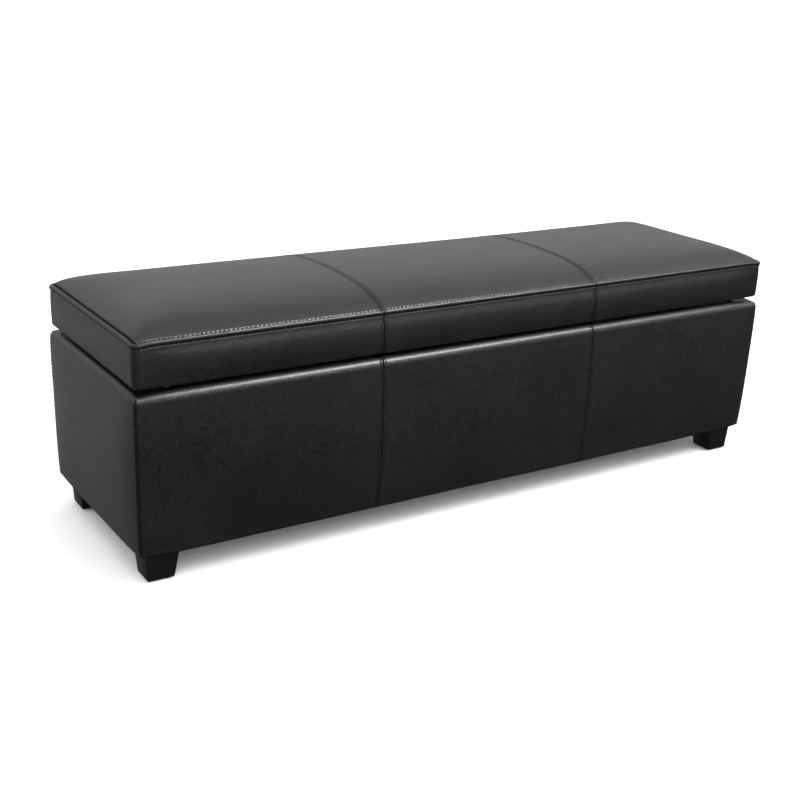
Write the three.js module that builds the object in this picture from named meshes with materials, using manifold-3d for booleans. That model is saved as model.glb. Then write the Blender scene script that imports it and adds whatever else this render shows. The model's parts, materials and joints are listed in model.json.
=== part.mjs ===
// Upholstered storage bench: a padded box on four tapered wooden feet, with a padded lid that is
// hinged along its back edge and held open by a folding stay inside each end.
// Millimetres, +X along the length, -Y to the front, +Z up. The origin is on the floor, under the
// middle of the whole bench, with its hinge. The pieces are drawn centred on the padded box.

import * as THREE from 'three';
import { mergeVertices } from 'three/addons/utils/BufferGeometryUtils.js';
import Module from 'manifold-3d';

// Overall sizes
const LENGTH = 1300;
const DEPTH = 400;
const FOOT_HEIGHT = 52;
const BOX_RIM = 318;
const LID_GAP = 8;
const LID_BAND = 69;
const CROWN_RISE = 32;
const CROWN_RUN = 150;
const CROWN_ROUND = 22;
const SEAM_X = 222;

// Upholstery
const COVER = 1.6;
const GAP = 0.3;
const COVER_GAP = 0.4;
const CORNER_ROUND = 9;
const RIM_ROUND = 11;
const BASE_ROUND = 12;
const FRONT_FALL = 9;
const END_FALL = 6;
const LID_ROUND = 7;
const LID_CORNER_ROUND = 13;
const BAND_BULGE = 3;
const RIM_WADDING = 4;
const COVER_RETURN = 22;
const COVER_FOLD = 36;
const MITRE_DEPTH = 60;

// Boards and linings
const BOARD = 15;
const BOTTOM_BOARD = 9;
const CARCASS_INSET = 21;
const CARCASS_LIFT = 6;
const LID_BOARD_INSET = 14;
const LINING = 1;
const LID_LINING = 0.6;
const DUST_COVER = 0.8;
const BLOCK_SIDE = 54;
const BLOCK_HEIGHT = 22;

// Feet
const FOOT_TOP = 57;
const FOOT_INSET_X = 18;
const FOOT_INSET_Y = 20;
const FOOT_OUTER_TAPER = 3;
const FOOT_INNER_TAPER = 9;
const GLIDE_HEIGHT = 2;
const GLIDE_MARGIN = 5;
const BOLT_RADIUS = 4;
const BOLT_LENGTH = 54;
const BOLT_CLEARANCE = 0.4;

// Piano hinge
const HINGE_SETBACK = 3.5;
const KNUCKLE_RADIUS = 3.55;
const HINGE_BORE = 1.9;
const HINGE_PIN = 1.5;
const LEAF = 1.2;
const LEAF_REACH = 30;
const KNUCKLE_PITCH = 50;
const KNUCKLES = 23;
const KNUCKLE_SIDES = 12;
const KNUCKLE_NOTCH = 4.3;

// Lid stays: the lower arm runs parallel to the line from the hinge to the lid pivot, and the
// upper arm parallel to the line from the hinge to the box pivot.
const LID_OPEN_DEG = 95;
const BOX_PIVOT_FORWARD = 60;
const BOX_PIVOT_DROP = 125;
const LID_PIVOT_FORWARD = 120;
const LID_PIVOT_DROP = 14;
const ARM_WIDTH = 14;
const ARM = 1.8;
const ARM_SPACING = 0.4;
const RIVET_RADIUS = 2.5;
const RIVET_HOLE = 2.95;
const RIVET_HEAD = 4.5;
const RIVET_HEAD_HEIGHT = 1;
const BRACKET = 2;
const BRACKET_WIDTH = 30;
const BRACKET_LENGTH = 44;
const LID_BRACKET_REACH = 19;
const STOP_TAB = 2;

// Bumpers
const BUMPER_RADIUS = 6;
const BUMPER_INSET_X = 60;
const BUMPER_INSET_Y = 24;

// Levels and half sizes worked out from the sizes above
const BOX_BASE = FOOT_HEIGHT + DUST_COVER;
const LID_BASE = BOX_RIM + LID_GAP;
const LID_SEAM = LID_BASE + LID_BAND;
const HALF_LENGTH = LENGTH / 2;
const HALF_DEPTH = DEPTH / 2;
const CARCASS_X = HALF_LENGTH - CARCASS_INSET;
const CARCASS_Y = HALF_DEPTH - CARCASS_INSET;
const CAVITY_X = CARCASS_X - BOARD;
const CAVITY_Y = CARCASS_Y - BOARD;
const CARCASS_BASE = BOX_BASE + CARCASS_LIFT;
const CARCASS_TOP = BOX_RIM - COVER - RIM_WADDING;
const BLOCK_TOP = CARCASS_BASE + BLOCK_HEIGHT;
const FLOOR_TOP = BLOCK_TOP + GAP + BOTTOM_BOARD;
const LID_BOARD_BASE = LID_BASE + COVER + 2 * GAP;
const LID_BOARD_TOP = LID_BOARD_BASE + BOARD;
const HINGE_Y = HALF_DEPTH + HINGE_SETBACK;
const HINGE_Z = BOX_RIM + LID_GAP / 2;
const FOOT_X = HALF_LENGTH - FOOT_INSET_X - FOOT_TOP / 2;
const FOOT_Y = HALF_DEPTH - FOOT_INSET_Y - FOOT_TOP / 2;
const LID_LINING_BASE = LID_BASE - GAP - LID_LINING;

// Mesh steps
const ARC_STEPS = 5;
const FACE_STEPS = 7;
const CROWN_STEPS = 7;
const CORNER_STEPS = 4;
const ROUND_SIDES = 16;

const wasm = await Module();
wasm.setup();

// ---------------------------------------------------------------- materials

const surface = (color, roughness, metalness = 0) => () =>
  new THREE.MeshStandardMaterial({ color, roughness, metalness });

const blackLeather = surface(0x1f1f21, 0.42);
const blackWood = surface(0x171413, 0.45);
const chipboard = surface(0xa88a62, 0.85);
const pineBlock = surface(0xc9a878, 0.8);
const foam = surface(0xd8cfae, 0.95);
const blackCloth = surface(0x29292b, 0.95);
const blackFelt = surface(0x1a1a1a, 0.98);
const zincSteel = surface(0xb4b7ba, 0.35, 1);
const blackRubber = surface(0x141414, 0.9);

// ---------------------------------------------------------------- solids

// A closed three.js geometry as a solid that can be cut and joined.
function solid(geometry) {
  const bare = geometry.clone();
  for (const attribute of ['normal', 'uv']) bare.deleteAttribute(attribute);
  const merged = mergeVertices(bare, 1e-4);
  return new wasm.Manifold(
    new wasm.Mesh({
      numProp: 3,
      vertProperties: new Float32Array(merged.attributes.position.array),
      triVerts: new Uint32Array(merged.index.array),
    }),
  );
}

// A solid as a three.js geometry.
function geometryOf(body) {
  const mesh = body.getMesh();
  const geometry = new THREE.BufferGeometry();
  geometry.setAttribute('position', new THREE.BufferAttribute(mesh.vertProperties, 3));
  geometry.setIndex(new THREE.BufferAttribute(mesh.triVerts, 1));
  geometry.computeVertexNormals();
  return geometry;
}

// A block between two corners.
function block(low, high) {
  const size = high.map((value, axis) => value - low[axis]);
  const geometry = new THREE.BoxGeometry(...size);
  geometry.translate(...low.map((value, axis) => value + size[axis] / 2));
  return solid(geometry);
}

// A block centred on the Z axis, from one level to another.
const centredBlock = (halfX, halfY, low, high) => block([-halfX, -halfY, low], [halfX, halfY, high]);

// A block on one end of the bench: side is 1 on the right and -1 on the left.
function endBlock(side, inner, outer, low, high) {
  const [near, far] = side > 0 ? [inner, outer] : [-outer, -inner];
  return block([near, ...low], [far, ...high]);
}

// A round rod along X.
function rodAlongX(radius, from, to, y, z, sides = ROUND_SIDES) {
  const geometry = new THREE.CylinderGeometry(radius, radius, Math.abs(to - from), sides);
  geometry.rotateZ(Math.PI / 2);
  geometry.translate((from + to) / 2, y, z);
  return solid(geometry);
}

// An upright round rod.
function uprightRod(radius, x, y, low, high, topRadius = radius) {
  const geometry = new THREE.CylinderGeometry(topRadius, radius, high - low, ROUND_SIDES);
  geometry.rotateX(Math.PI / 2);
  geometry.translate(x, y, (low + high) / 2);
  return solid(geometry);
}

// A flat outline extruded upwards.
function upright(outline, low, high) {
  const shape = new THREE.Shape(outline.map(([x, y]) => new THREE.Vector2(x, y)));
  const geometry = new THREE.ExtrudeGeometry(shape, { depth: high - low, bevelEnabled: false });
  geometry.translate(0, 0, low);
  return solid(geometry);
}

// An outline in the YZ plane, extruded along X.
function plateAlongX(shape, from, to) {
  const geometry = new THREE.ExtrudeGeometry(shape, {
    depth: Math.abs(to - from),
    bevelEnabled: false,
    curveSegments: ROUND_SIDES / 2,
  });
  geometry.applyMatrix4(
    new THREE.Matrix4().makeBasis(
      new THREE.Vector3(0, 1, 0),
      new THREE.Vector3(0, 0, 1),
      new THREE.Vector3(1, 0, 0),
    ),
  );
  geometry.translate(Math.min(from, to), 0, 0);
  return solid(geometry);
}

// ---------------------------------------------------------------- padded forms

// A closed form through level rounded rectangles, given from the lowest to the highest.
function loft(rings) {
  const positions = [];
  const triangles = [];
  for (const { z, halfX, halfY, round } of rings) {
    for (const [cornerX, cornerY, start] of [[1, 1, 0], [-1, 1, 1], [-1, -1, 2], [1, -1, 3]]) {
      for (let step = 0; step <= CORNER_STEPS; step += 1) {
        const angle = ((start + step / CORNER_STEPS) * Math.PI) / 2;
        positions.push(cornerX * (halfX - round) + round * Math.cos(angle));
        positions.push(cornerY * (halfY - round) + round * Math.sin(angle));
        positions.push(z);
      }
    }
  }
  const count = 4 * (CORNER_STEPS + 1);
  for (let level = 0; level < rings.length - 1; level += 1) {
    for (let corner = 0; corner < count; corner += 1) {
      const next = (corner + 1) % count;
      const [a, b] = [level * count + corner, level * count + next];
      const [c, d] = [b + count, a + count];
      triangles.push(a, b, c, a, c, d);
    }
  }
  const topStart = (rings.length - 1) * count;
  for (let corner = 1; corner < count - 1; corner += 1) {
    triangles.push(0, corner + 1, corner);
    triangles.push(topStart, topStart + corner, topStart + corner + 1);
  }
  const geometry = new THREE.BufferGeometry();
  geometry.setAttribute('position', new THREE.BufferAttribute(new Float32Array(positions), 3));
  geometry.setIndex(triangles);
  return solid(geometry);
}

// How far a face of the box has drawn in, from 0 at the rim to 1 at the foot of the face.
function fall(z) {
  const down = (BOX_RIM - RIM_ROUND - z) / (BOX_RIM - RIM_ROUND - BOX_BASE - BASE_ROUND);
  return THREE.MathUtils.clamp(down, 0, 1) ** 2;
}

function boxRing(z, inwards, round) {
  return {
    z,
    halfX: HALF_LENGTH - END_FALL * fall(z) - inwards,
    halfY: HALF_DEPTH - FRONT_FALL * fall(z) - inwards,
    round,
  };
}

// The outside of the padded box, or the same form a little smaller all round.
function boxForm(inset) {
  const round = CORNER_ROUND - inset;
  const rings = [];
  for (let step = 0; step <= ARC_STEPS; step += 1) {
    const angle = (step / ARC_STEPS) * (Math.PI / 2);
    const reach = BASE_ROUND - inset;
    const z = BOX_BASE + BASE_ROUND - reach * Math.cos(angle);
    rings.push(boxRing(z, BASE_ROUND - reach * Math.sin(angle), round));
  }
  const faceFoot = BOX_BASE + BASE_ROUND;
  const faceTop = BOX_RIM - RIM_ROUND;
  for (let step = 1; step < FACE_STEPS; step += 1) {
    rings.push(boxRing(faceFoot + ((faceTop - faceFoot) * step) / FACE_STEPS, inset, round));
  }
  for (let step = 0; step <= ARC_STEPS; step += 1) {
    const angle = (step / ARC_STEPS) * (Math.PI / 2);
    const reach = RIM_ROUND - inset;
    rings.push(boxRing(faceTop + reach * Math.sin(angle), RIM_ROUND - reach * Math.cos(angle), round));
  }
  return loft(rings);
}

function lidRing(z, inwards, round) {
  return { z, halfX: HALF_LENGTH - inwards, halfY: HALF_DEPTH - inwards, round };
}

// The outside of the padded lid: a band that swells at half height, and a crowned top.
function lidForm(inset) {
  const round = LID_CORNER_ROUND - inset;
  const rings = [];
  for (let step = 0; step < ARC_STEPS; step += 1) {
    const angle = (step / ARC_STEPS) * (Math.PI / 2);
    const reach = LID_ROUND - inset;
    const z = LID_BASE + LID_ROUND - reach * Math.cos(angle);
    rings.push(lidRing(z, BAND_BULGE + LID_ROUND - reach * Math.sin(angle), round));
  }
  const bandFoot = LID_BASE + LID_ROUND;
  for (let step = 0; step < FACE_STEPS; step += 1) {
    const up = step / FACE_STEPS;
    const swell = BAND_BULGE * Math.sin(Math.PI * up);
    rings.push(lidRing(bandFoot + (LID_SEAM - bandFoot) * up, BAND_BULGE - swell + inset, round));
  }
  for (let step = 0; step <= CROWN_STEPS; step += 1) {
    const across = (step / CROWN_STEPS) ** 1.4;
    const rise = CROWN_RISE * (1 - (1 - across) ** 3);
    const inwards = BAND_BULGE + inset + across * CROWN_RUN;
    rings.push(lidRing(LID_SEAM + rise - inset, inwards, round + across * CROWN_ROUND));
  }
  return loft(rings);
}

// The part of the bench on one side of the mitres through the corners: front, back, left or right.
function mitred(side, low, high) {
  const [outX, outY] = [HALF_LENGTH + MITRE_DEPTH, HALF_DEPTH + MITRE_DEPTH];
  const [inX, inY] = [HALF_LENGTH - MITRE_DEPTH, HALF_DEPTH - MITRE_DEPTH];
  const shift = COVER_GAP / 2;
  const outlines = {
    front: [[-outX, -outY - shift], [outX, -outY - shift], [inX, -inY - shift], [-inX, -inY - shift]],
    back: [[outX, outY + shift], [-outX, outY + shift], [-inX, inY + shift], [inX, inY + shift]],
    left: [[-outX - shift, outY], [-outX - shift, -outY], [-inX - shift, -inY], [-inX - shift, inY]],
    right: [[outX + shift, -outY], [outX + shift, outY], [inX + shift, inY], [inX + shift, -inY]],
  };
  return upright(outlines[side], low, high);
}

// The left, centre or right third of the length, between the sewn cross seams.
function third(panel, low, high) {
  const [from, to] = {
    left: [-LENGTH, -SEAM_X - COVER_GAP / 2],
    centre: [-SEAM_X + COVER_GAP / 2, SEAM_X - COVER_GAP / 2],
    right: [SEAM_X + COVER_GAP / 2, LENGTH],
  }[panel];
  return block([from, -DEPTH, low], [to, DEPTH, high]);
}

// ---------------------------------------------------------------- groups

const bench = new THREE.Group();
const box = new THREE.Group();
const lid = new THREE.Group();
const stays = new THREE.Group();
bench.add(box, lid, stays);

function add(group, name, body, material) {
  const mesh = new THREE.Mesh(geometryOf(body), material());
  mesh.name = name;
  group.add(mesh);
}

const PANELS = ['left', 'centre', 'right'];
const ENDS = [['left', -1], ['right', 1]];
const CORNERS = [
  ['front_left', -1, -1],
  ['front_right', 1, -1],
  ['back_left', -1, 1],
  ['back_right', 1, 1],
];

// ---------------------------------------------------------------- box

function addCarcass() {
  for (const [name, side] of [['front', -1], ['back', 1]]) {
    const [near, far] = side > 0 ? [CAVITY_Y, CARCASS_Y] : [-CARCASS_Y, -CAVITY_Y];
    const board = block([-CARCASS_X, near, CARCASS_BASE], [CARCASS_X, far, CARCASS_TOP]);
    add(box, `${name}_board`, board, chipboard);
  }
  for (const [name, side] of ENDS) {
    const halfY = CAVITY_Y - GAP;
    const board = endBlock(side, CAVITY_X, CARCASS_X, [-halfY, CARCASS_BASE], [halfY, CARCASS_TOP]);
    add(box, `${name}_end_board`, board, chipboard);
  }
  const floor = centredBlock(CAVITY_X - GAP, CAVITY_Y - GAP, BLOCK_TOP + GAP, FLOOR_TOP);
  add(box, 'bottom_board', floor, chipboard);
}

function addBoxPadding() {
  const carcass = centredBlock(
    CARCASS_X + GAP,
    CARCASS_Y + GAP,
    CARCASS_BASE - GAP,
    CARCASS_TOP + GAP,
  );
  const reachX = CAVITY_X + COVER + 2 * GAP;
  const reachY = CAVITY_Y + COVER + 2 * GAP;
  const mouth = centredBlock(reachX, reachY, 0, LID_SEAM);
  const wadding = boxForm(COVER + GAP).subtract(carcass).subtract(mouth);
  for (const side of ['front', 'back', 'left', 'right']) {
    const name = side === 'left' || side === 'right' ? `${side}_end_padding` : `${side}_padding`;
    add(box, name, wadding.intersect(mitred(side, 0, LID_SEAM)), foam);
  }
}

// The sheet over the box: down the outside, over the rim into the box, and folded under it.
function boxSkin() {
  const returnBase = BOX_RIM - COVER_RETURN;
  const fold = centredBlock(
    HALF_LENGTH - COVER_FOLD,
    HALF_DEPTH - COVER_FOLD,
    0,
    BOX_BASE + COVER + GAP,
  );
  const mouth = centredBlock(CAVITY_X - GAP - COVER, CAVITY_Y - GAP - COVER, FLOOR_TOP, LID_SEAM);
  const inside = boxForm(COVER);
  const wallBehindReturn = centredBlock(CAVITY_X - GAP, CAVITY_Y - GAP, returnBase, BOX_RIM);
  const hollow = inside.subtract(wallBehindReturn);
  return boxForm(0).subtract(hollow).subtract(fold).subtract(mouth);
}

function addBoxCovers() {
  const skin = boxSkin();
  const front = skin.intersect(mitred('front', 0, LID_SEAM));
  for (const panel of PANELS) {
    add(box, `front_cover_${panel}`, front.intersect(third(panel, 0, LID_SEAM)), blackLeather);
  }
  for (const [name] of ENDS) {
    add(box, `${name}_end_cover`, skin.intersect(mitred(name, 0, LID_SEAM)), blackLeather);
  }
  add(box, 'back_cover', skin.intersect(mitred('back', 0, LID_SEAM)), blackLeather);
}

function addLinings() {
  const outer = centredBlock(
    CAVITY_X - GAP,
    CAVITY_Y - GAP,
    FLOOR_TOP + GAP,
    BOX_RIM - COVER_RETURN - GAP,
  );
  const inner = centredBlock(
    CAVITY_X - GAP - LINING,
    CAVITY_Y - GAP - LINING,
    FLOOR_TOP + GAP + LINING,
    BOX_RIM,
  );
  add(box, 'box_lining', outer.subtract(inner), blackCloth);
  const dustCover = centredBlock(
    HALF_LENGTH - COVER_FOLD + 2,
    HALF_DEPTH - COVER_FOLD + 2,
    FOOT_HEIGHT - GAP,
    BOX_BASE - GAP,
  );
  const boltHoles = CORNERS.map(([, sideX, sideY]) =>
    uprightRod(BOLT_RADIUS + BOLT_CLEARANCE, sideX * FOOT_X, sideY * FOOT_Y, 0, BOX_BASE),
  );
  add(box, 'dust_cover', boltHoles.reduce((sheet, hole) => sheet.subtract(hole), dustCover), blackCloth);
}

// A foot: the two faces on the outside of the bench are almost upright, the inner two taper more.
function footForm(sideX, sideY) {
  const top = FOOT_HEIGHT - 2 * GAP;
  const innerX = FOOT_X - FOOT_TOP / 2;
  const innerY = FOOT_Y - FOOT_TOP / 2;
  const corners = [];
  for (const [z, outerTaper, innerTaper] of [
    [GLIDE_HEIGHT + GAP, FOOT_OUTER_TAPER, FOOT_INNER_TAPER],
    [top, 0, 0],
  ]) {
    const [lowX, highX] = [innerX + innerTaper, innerX + FOOT_TOP - outerTaper];
    const [lowY, highY] = [innerY + innerTaper, innerY + FOOT_TOP - outerTaper];
    for (const [x, y] of [[lowX, lowY], [highX, lowY], [highX, highY], [lowX, highY]]) {
      corners.push(sideX * x, sideY * y, z);
    }
  }
  const faces = [0, 2, 1, 0, 3, 2, 4, 5, 6, 4, 6, 7];
  for (let edge = 0; edge < 4; edge += 1) {
    const next = (edge + 1) % 4;
    faces.push(edge, next, next + 4, edge, next + 4, edge + 4);
  }
  if (sideX * sideY < 0) faces.reverse();
  const geometry = new THREE.BufferGeometry();
  geometry.setAttribute('position', new THREE.BufferAttribute(new Float32Array(corners), 3));
  geometry.setIndex(faces);
  return solid(geometry);
}

function addFeet() {
  const boltTop = BLOCK_TOP - 2;
  const boltBase = boltTop - BOLT_LENGTH;
  for (const [name, sideX, sideY] of CORNERS) {
    const [x, y] = [sideX * FOOT_X, sideY * FOOT_Y];
    const bolt = uprightRod(BOLT_RADIUS, x, y, boltBase, boltTop);
    const boltHole = uprightRod(
      BOLT_RADIUS + BOLT_CLEARANCE,
      x,
      y,
      boltBase - GAP,
      boltTop + GAP,
    );
    const far = [sideX * (CAVITY_X - GAP), sideY * (CAVITY_Y - GAP)];
    const near = [far[0] - sideX * BLOCK_SIDE, far[1] - sideY * BLOCK_SIDE];
    const cornerBlock = block(
      [Math.min(near[0], far[0]), Math.min(near[1], far[1]), CARCASS_BASE],
      [Math.max(near[0], far[0]), Math.max(near[1], far[1]), BLOCK_TOP],
    );
    add(box, `corner_block_${name}`, cornerBlock.subtract(boltHole), pineBlock);
    add(box, `foot_${name}`, footForm(sideX, sideY).subtract(boltHole), blackWood);
    add(box, `foot_bolt_${name}`, bolt, zincSteel);
    add(box, `foot_glide_${name}`, glide(sideX, sideY), blackFelt);
  }
}

function glide(sideX, sideY) {
  const low = [
    FOOT_X - FOOT_TOP / 2 + FOOT_INNER_TAPER + GLIDE_MARGIN,
    FOOT_Y - FOOT_TOP / 2 + FOOT_INNER_TAPER + GLIDE_MARGIN,
  ];
  const high = [
    FOOT_X + FOOT_TOP / 2 - FOOT_OUTER_TAPER - GLIDE_MARGIN,
    FOOT_Y + FOOT_TOP / 2 - FOOT_OUTER_TAPER - GLIDE_MARGIN,
  ];
  const [x, y] = [(low[0] + high[0]) / 2, (low[1] + high[1]) / 2];
  return uprightRod((high[0] - low[0]) / 2, sideX * x, sideY * y, 0, GLIDE_HEIGHT);
}

// ---------------------------------------------------------------- lid

function addLidInside() {
  const halfX = HALF_LENGTH - LID_BOARD_INSET;
  const halfY = HALF_DEPTH - LID_BOARD_INSET;
  add(lid, 'lid_board', centredBlock(halfX, halfY, LID_BOARD_BASE, LID_BOARD_TOP), chipboard);
  const boardSpace = centredBlock(halfX + GAP, halfY + GAP, 0, LID_BOARD_TOP + GAP);
  add(lid, 'seat_foam', lidForm(COVER + GAP).subtract(boardSpace), foam);
  const lining = centredBlock(
    HALF_LENGTH - COVER_FOLD + 4,
    HALF_DEPTH - COVER_FOLD + 4,
    LID_LINING_BASE,
    LID_BASE - GAP,
  );
  add(lid, 'lid_lining', lining, blackCloth);
}

function addLidCovers() {
  const fold = centredBlock(
    HALF_LENGTH - COVER_FOLD,
    HALF_DEPTH - COVER_FOLD,
    0,
    LID_BASE + COVER + GAP,
  );
  const skin = lidForm(0).subtract(lidForm(COVER)).subtract(fold);
  const seamLow = LID_SEAM - COVER_GAP / 2;
  const seamHigh = LID_SEAM + COVER_GAP / 2;
  const crown = LID_SEAM + 2 * CROWN_RISE;
  for (const panel of PANELS) {
    add(lid, `top_cover_${panel}`, skin.intersect(third(panel, seamHigh, crown)), blackLeather);
  }
  const frontBand = skin.intersect(mitred('front', 0, seamLow));
  for (const panel of PANELS) {
    add(lid, `lid_front_band_${panel}`, frontBand.intersect(third(panel, 0, seamLow)), blackLeather);
  }
  for (const side of ['left', 'right', 'back']) {
    add(lid, `lid_${side}_band`, skin.intersect(mitred(side, 0, seamLow)), blackLeather);
  }
}

function addBumpers() {
  for (const [name, side] of ENDS) {
    const bumper = uprightRod(
      BUMPER_RADIUS - 1,
      side * (HALF_LENGTH - BUMPER_INSET_X),
      BUMPER_INSET_Y - HALF_DEPTH,
      BOX_RIM + GAP,
      LID_BASE - GAP,
      BUMPER_RADIUS,
    );
    add(lid, `bumper_${name}`, bumper, blackRubber);
  }
}

// ---------------------------------------------------------------- piano hinge

const hingeRod = (radius, from, to) => rodAlongX(radius, from, to, HINGE_Y, HINGE_Z, KNUCKLE_SIDES);

// One leaf with its knuckles. The plate is notched where the other leaf's knuckles sit.
function hingeLeaf(parity, plateLow, plateHigh) {
  const start = (-KNUCKLES * KNUCKLE_PITCH) / 2;
  let leaf = block([start, HINGE_Y - LEAF_REACH, plateLow], [-start, HINGE_Y, plateHigh]);
  for (let index = 0; index < KNUCKLES; index += 1) {
    const low = start + index * KNUCKLE_PITCH;
    const high = low + KNUCKLE_PITCH;
    if (index % 2 === parity) {
      leaf = leaf.add(hingeRod(KNUCKLE_RADIUS, low + COVER_GAP, high - COVER_GAP));
    } else {
      leaf = leaf.subtract(
        block(
          [low - COVER_GAP, HINGE_Y - KNUCKLE_NOTCH, 0],
          [high + COVER_GAP, HALF_DEPTH * 2, LENGTH],
        ),
      );
    }
  }
  return leaf.subtract(hingeRod(HINGE_BORE, start - LEAF, LEAF - start));
}

function addPianoHinge() {
  const lowPlate = HINGE_Z - KNUCKLE_RADIUS;
  const highPlate = HINGE_Z + KNUCKLE_RADIUS;
  const halfLength = (KNUCKLES * KNUCKLE_PITCH) / 2;
  add(box, 'piano_hinge_box_leaf', hingeLeaf(0, lowPlate, lowPlate + LEAF), zincSteel);
  add(lid, 'piano_hinge_lid_leaf', hingeLeaf(1, highPlate - LEAF, highPlate), zincSteel);
  add(box, 'piano_hinge_pin', hingeRod(HINGE_PIN, -halfLength, halfLength), zincSteel);
}

// ---------------------------------------------------------------- lid stays

const boxPivot = new THREE.Vector2(HINGE_Y - BOX_PIVOT_FORWARD, HINGE_Z - BOX_PIVOT_DROP);
const lidPivot = new THREE.Vector2(HINGE_Y - LID_PIVOT_FORWARD, HINGE_Z - LID_PIVOT_DROP);
const hinge = new THREE.Vector2(HINGE_Y, HINGE_Z);
const elbow = boxPivot.clone().add(lidPivot).sub(hinge);

// Where each layer of a stay starts, counted inwards from the lining of the end.
const plateOuter = CAVITY_X - GAP - LINING - GAP;
const plateInner = plateOuter - BRACKET;
const lowerArmOuter = plateInner - ARM_SPACING;
const lowerArmInner = lowerArmOuter - ARM;
const upperArmOuter = lowerArmInner - ARM_SPACING;
const upperArmInner = upperArmOuter - ARM;
const earOuter = upperArmInner - ARM_SPACING;
const earInner = earOuter - ARM;

// A flat bar with round ends through two points in the YZ plane.
function barOutline(from, to) {
  const along = to.clone().sub(from);
  const angle = along.angle();
  const shape = new THREE.Shape();
  shape.absarc(to.x, to.y, ARM_WIDTH / 2, angle - Math.PI / 2, angle + Math.PI / 2, false);
  shape.absarc(from.x, from.y, ARM_WIDTH / 2, angle + Math.PI / 2, angle + (3 * Math.PI) / 2, false);
  shape.closePath();
  return shape;
}

function drill(body, side, point) {
  return body.subtract(rodAlongX(RIVET_HOLE, 0, side * HALF_LENGTH, point.x, point.y));
}

// A rivet shank with a flat head, between two distances from the middle of the bench.
function rivet(side, point, from, to, headFrom, headTo) {
  const shank = rodAlongX(RIVET_RADIUS, side * from, side * to, point.x, point.y);
  return shank.add(rodAlongX(RIVET_HEAD, side * headFrom, side * headTo, point.x, point.y));
}

function boxBracket(side) {
  const low = [boxPivot.x - BRACKET_WIDTH / 2, boxPivot.y - BRACKET_LENGTH / 2];
  const high = [boxPivot.x + BRACKET_WIDTH / 2, boxPivot.y + BRACKET_LENGTH / 2];
  const plate = endBlock(side, plateInner, plateOuter, low, high);
  const headOuter = lowerArmInner - GAP;
  const headInner = headOuter - RIVET_HEAD_HEIGHT;
  return plate.add(rivet(side, boxPivot, headOuter, plateInner, headInner, headOuter));
}

function lidBracket(side) {
  const top = LID_LINING_BASE - GAP;
  const [backY, frontY] = [lidPivot.x + BRACKET_LENGTH / 2, lidPivot.x - BRACKET_LENGTH / 2];
  const foot = endBlock(
    side,
    earInner - LID_BRACKET_REACH,
    earOuter,
    [frontY, top - ARM],
    [backY, top],
  );
  const earTop = new THREE.Vector2(lidPivot.x, top - ARM_WIDTH / 2);
  const ear = plateAlongX(barOutline(lidPivot, earTop), side * earInner, side * earOuter);
  const headInner = upperArmOuter + GAP;
  const headOuter = headInner + RIVET_HEAD_HEIGHT;
  return foot.add(ear).add(rivet(side, lidPivot, earOuter, headInner, headInner, headOuter));
}

function lowerArm(side) {
  const bar = plateAlongX(barOutline(boxPivot, elbow), side * lowerArmInner, side * lowerArmOuter);
  return drill(drill(bar, side, boxPivot), side, elbow);
}

// The upper arm runs on past the elbow to a bent tab, which meets the edge of the lower arm when
// the lid is fully open.
function upperArm(side) {
  const downwards = elbow.clone().sub(lidPivot).normalize();
  const lowerDirection = boxPivot.clone().sub(elbow);
  const openTurn = THREE.MathUtils.degToRad(LID_OPEN_DEG);
  const openAngle = lowerDirection.angle() - openTurn - downwards.angle();
  const tabReach = (ARM_WIDTH / 2 + STOP_TAB + 2 * GAP) / Math.abs(Math.sin(openAngle));
  const tabCentre = elbow.clone().addScaledVector(downwards, tabReach);
  const bar = plateAlongX(barOutline(lidPivot, tabCentre), side * upperArmInner, side * upperArmOuter);
  const tab = rodAlongX(
    STOP_TAB,
    side * upperArmInner,
    side * lowerArmOuter,
    tabCentre.x,
    tabCentre.y,
  );
  return drill(drill(bar, side, lidPivot), side, elbow).add(tab);
}

function elbowRivet(side) {
  const [outer, inner] = [lowerArmOuter + GAP, upperArmInner - GAP];
  const outerHead = rivet(side, elbow, inner, outer, outer, outer + RIVET_HEAD_HEIGHT);
  return outerHead.add(rivet(side, elbow, inner, outer, inner - RIVET_HEAD_HEIGHT, inner));
}

function addStays() {
  for (const [name, side] of ENDS) {
    add(box, `stay_box_bracket_${name}`, boxBracket(side), zincSteel);
    add(lid, `stay_lid_bracket_${name}`, lidBracket(side), zincSteel);
    add(stays, `stay_lower_arm_${name}`, lowerArm(side), zincSteel);
    add(stays, `stay_upper_arm_${name}`, upperArm(side), zincSteel);
    add(stays, `stay_elbow_rivet_${name}`, elbowRivet(side), zincSteel);
  }
}

bench.position.y = -(HINGE_SETBACK + KNUCKLE_RADIUS) / 2;

addCarcass();
addBoxPadding();
addBoxCovers();
addLinings();
addFeet();
addLidInside();
addLidCovers();
addBumpers();
addPianoHinge();
addStays();

export default bench;
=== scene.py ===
"""Looks of the upholstered storage bench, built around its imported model. Metres, +Z up, front at -Y."""

import json
import math

import bmesh
import bpy
import numpy as np
from bpy.props import FloatProperty, FloatVectorProperty, IntProperty, PointerProperty
from mathutils import Matrix, Vector, noise


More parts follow.
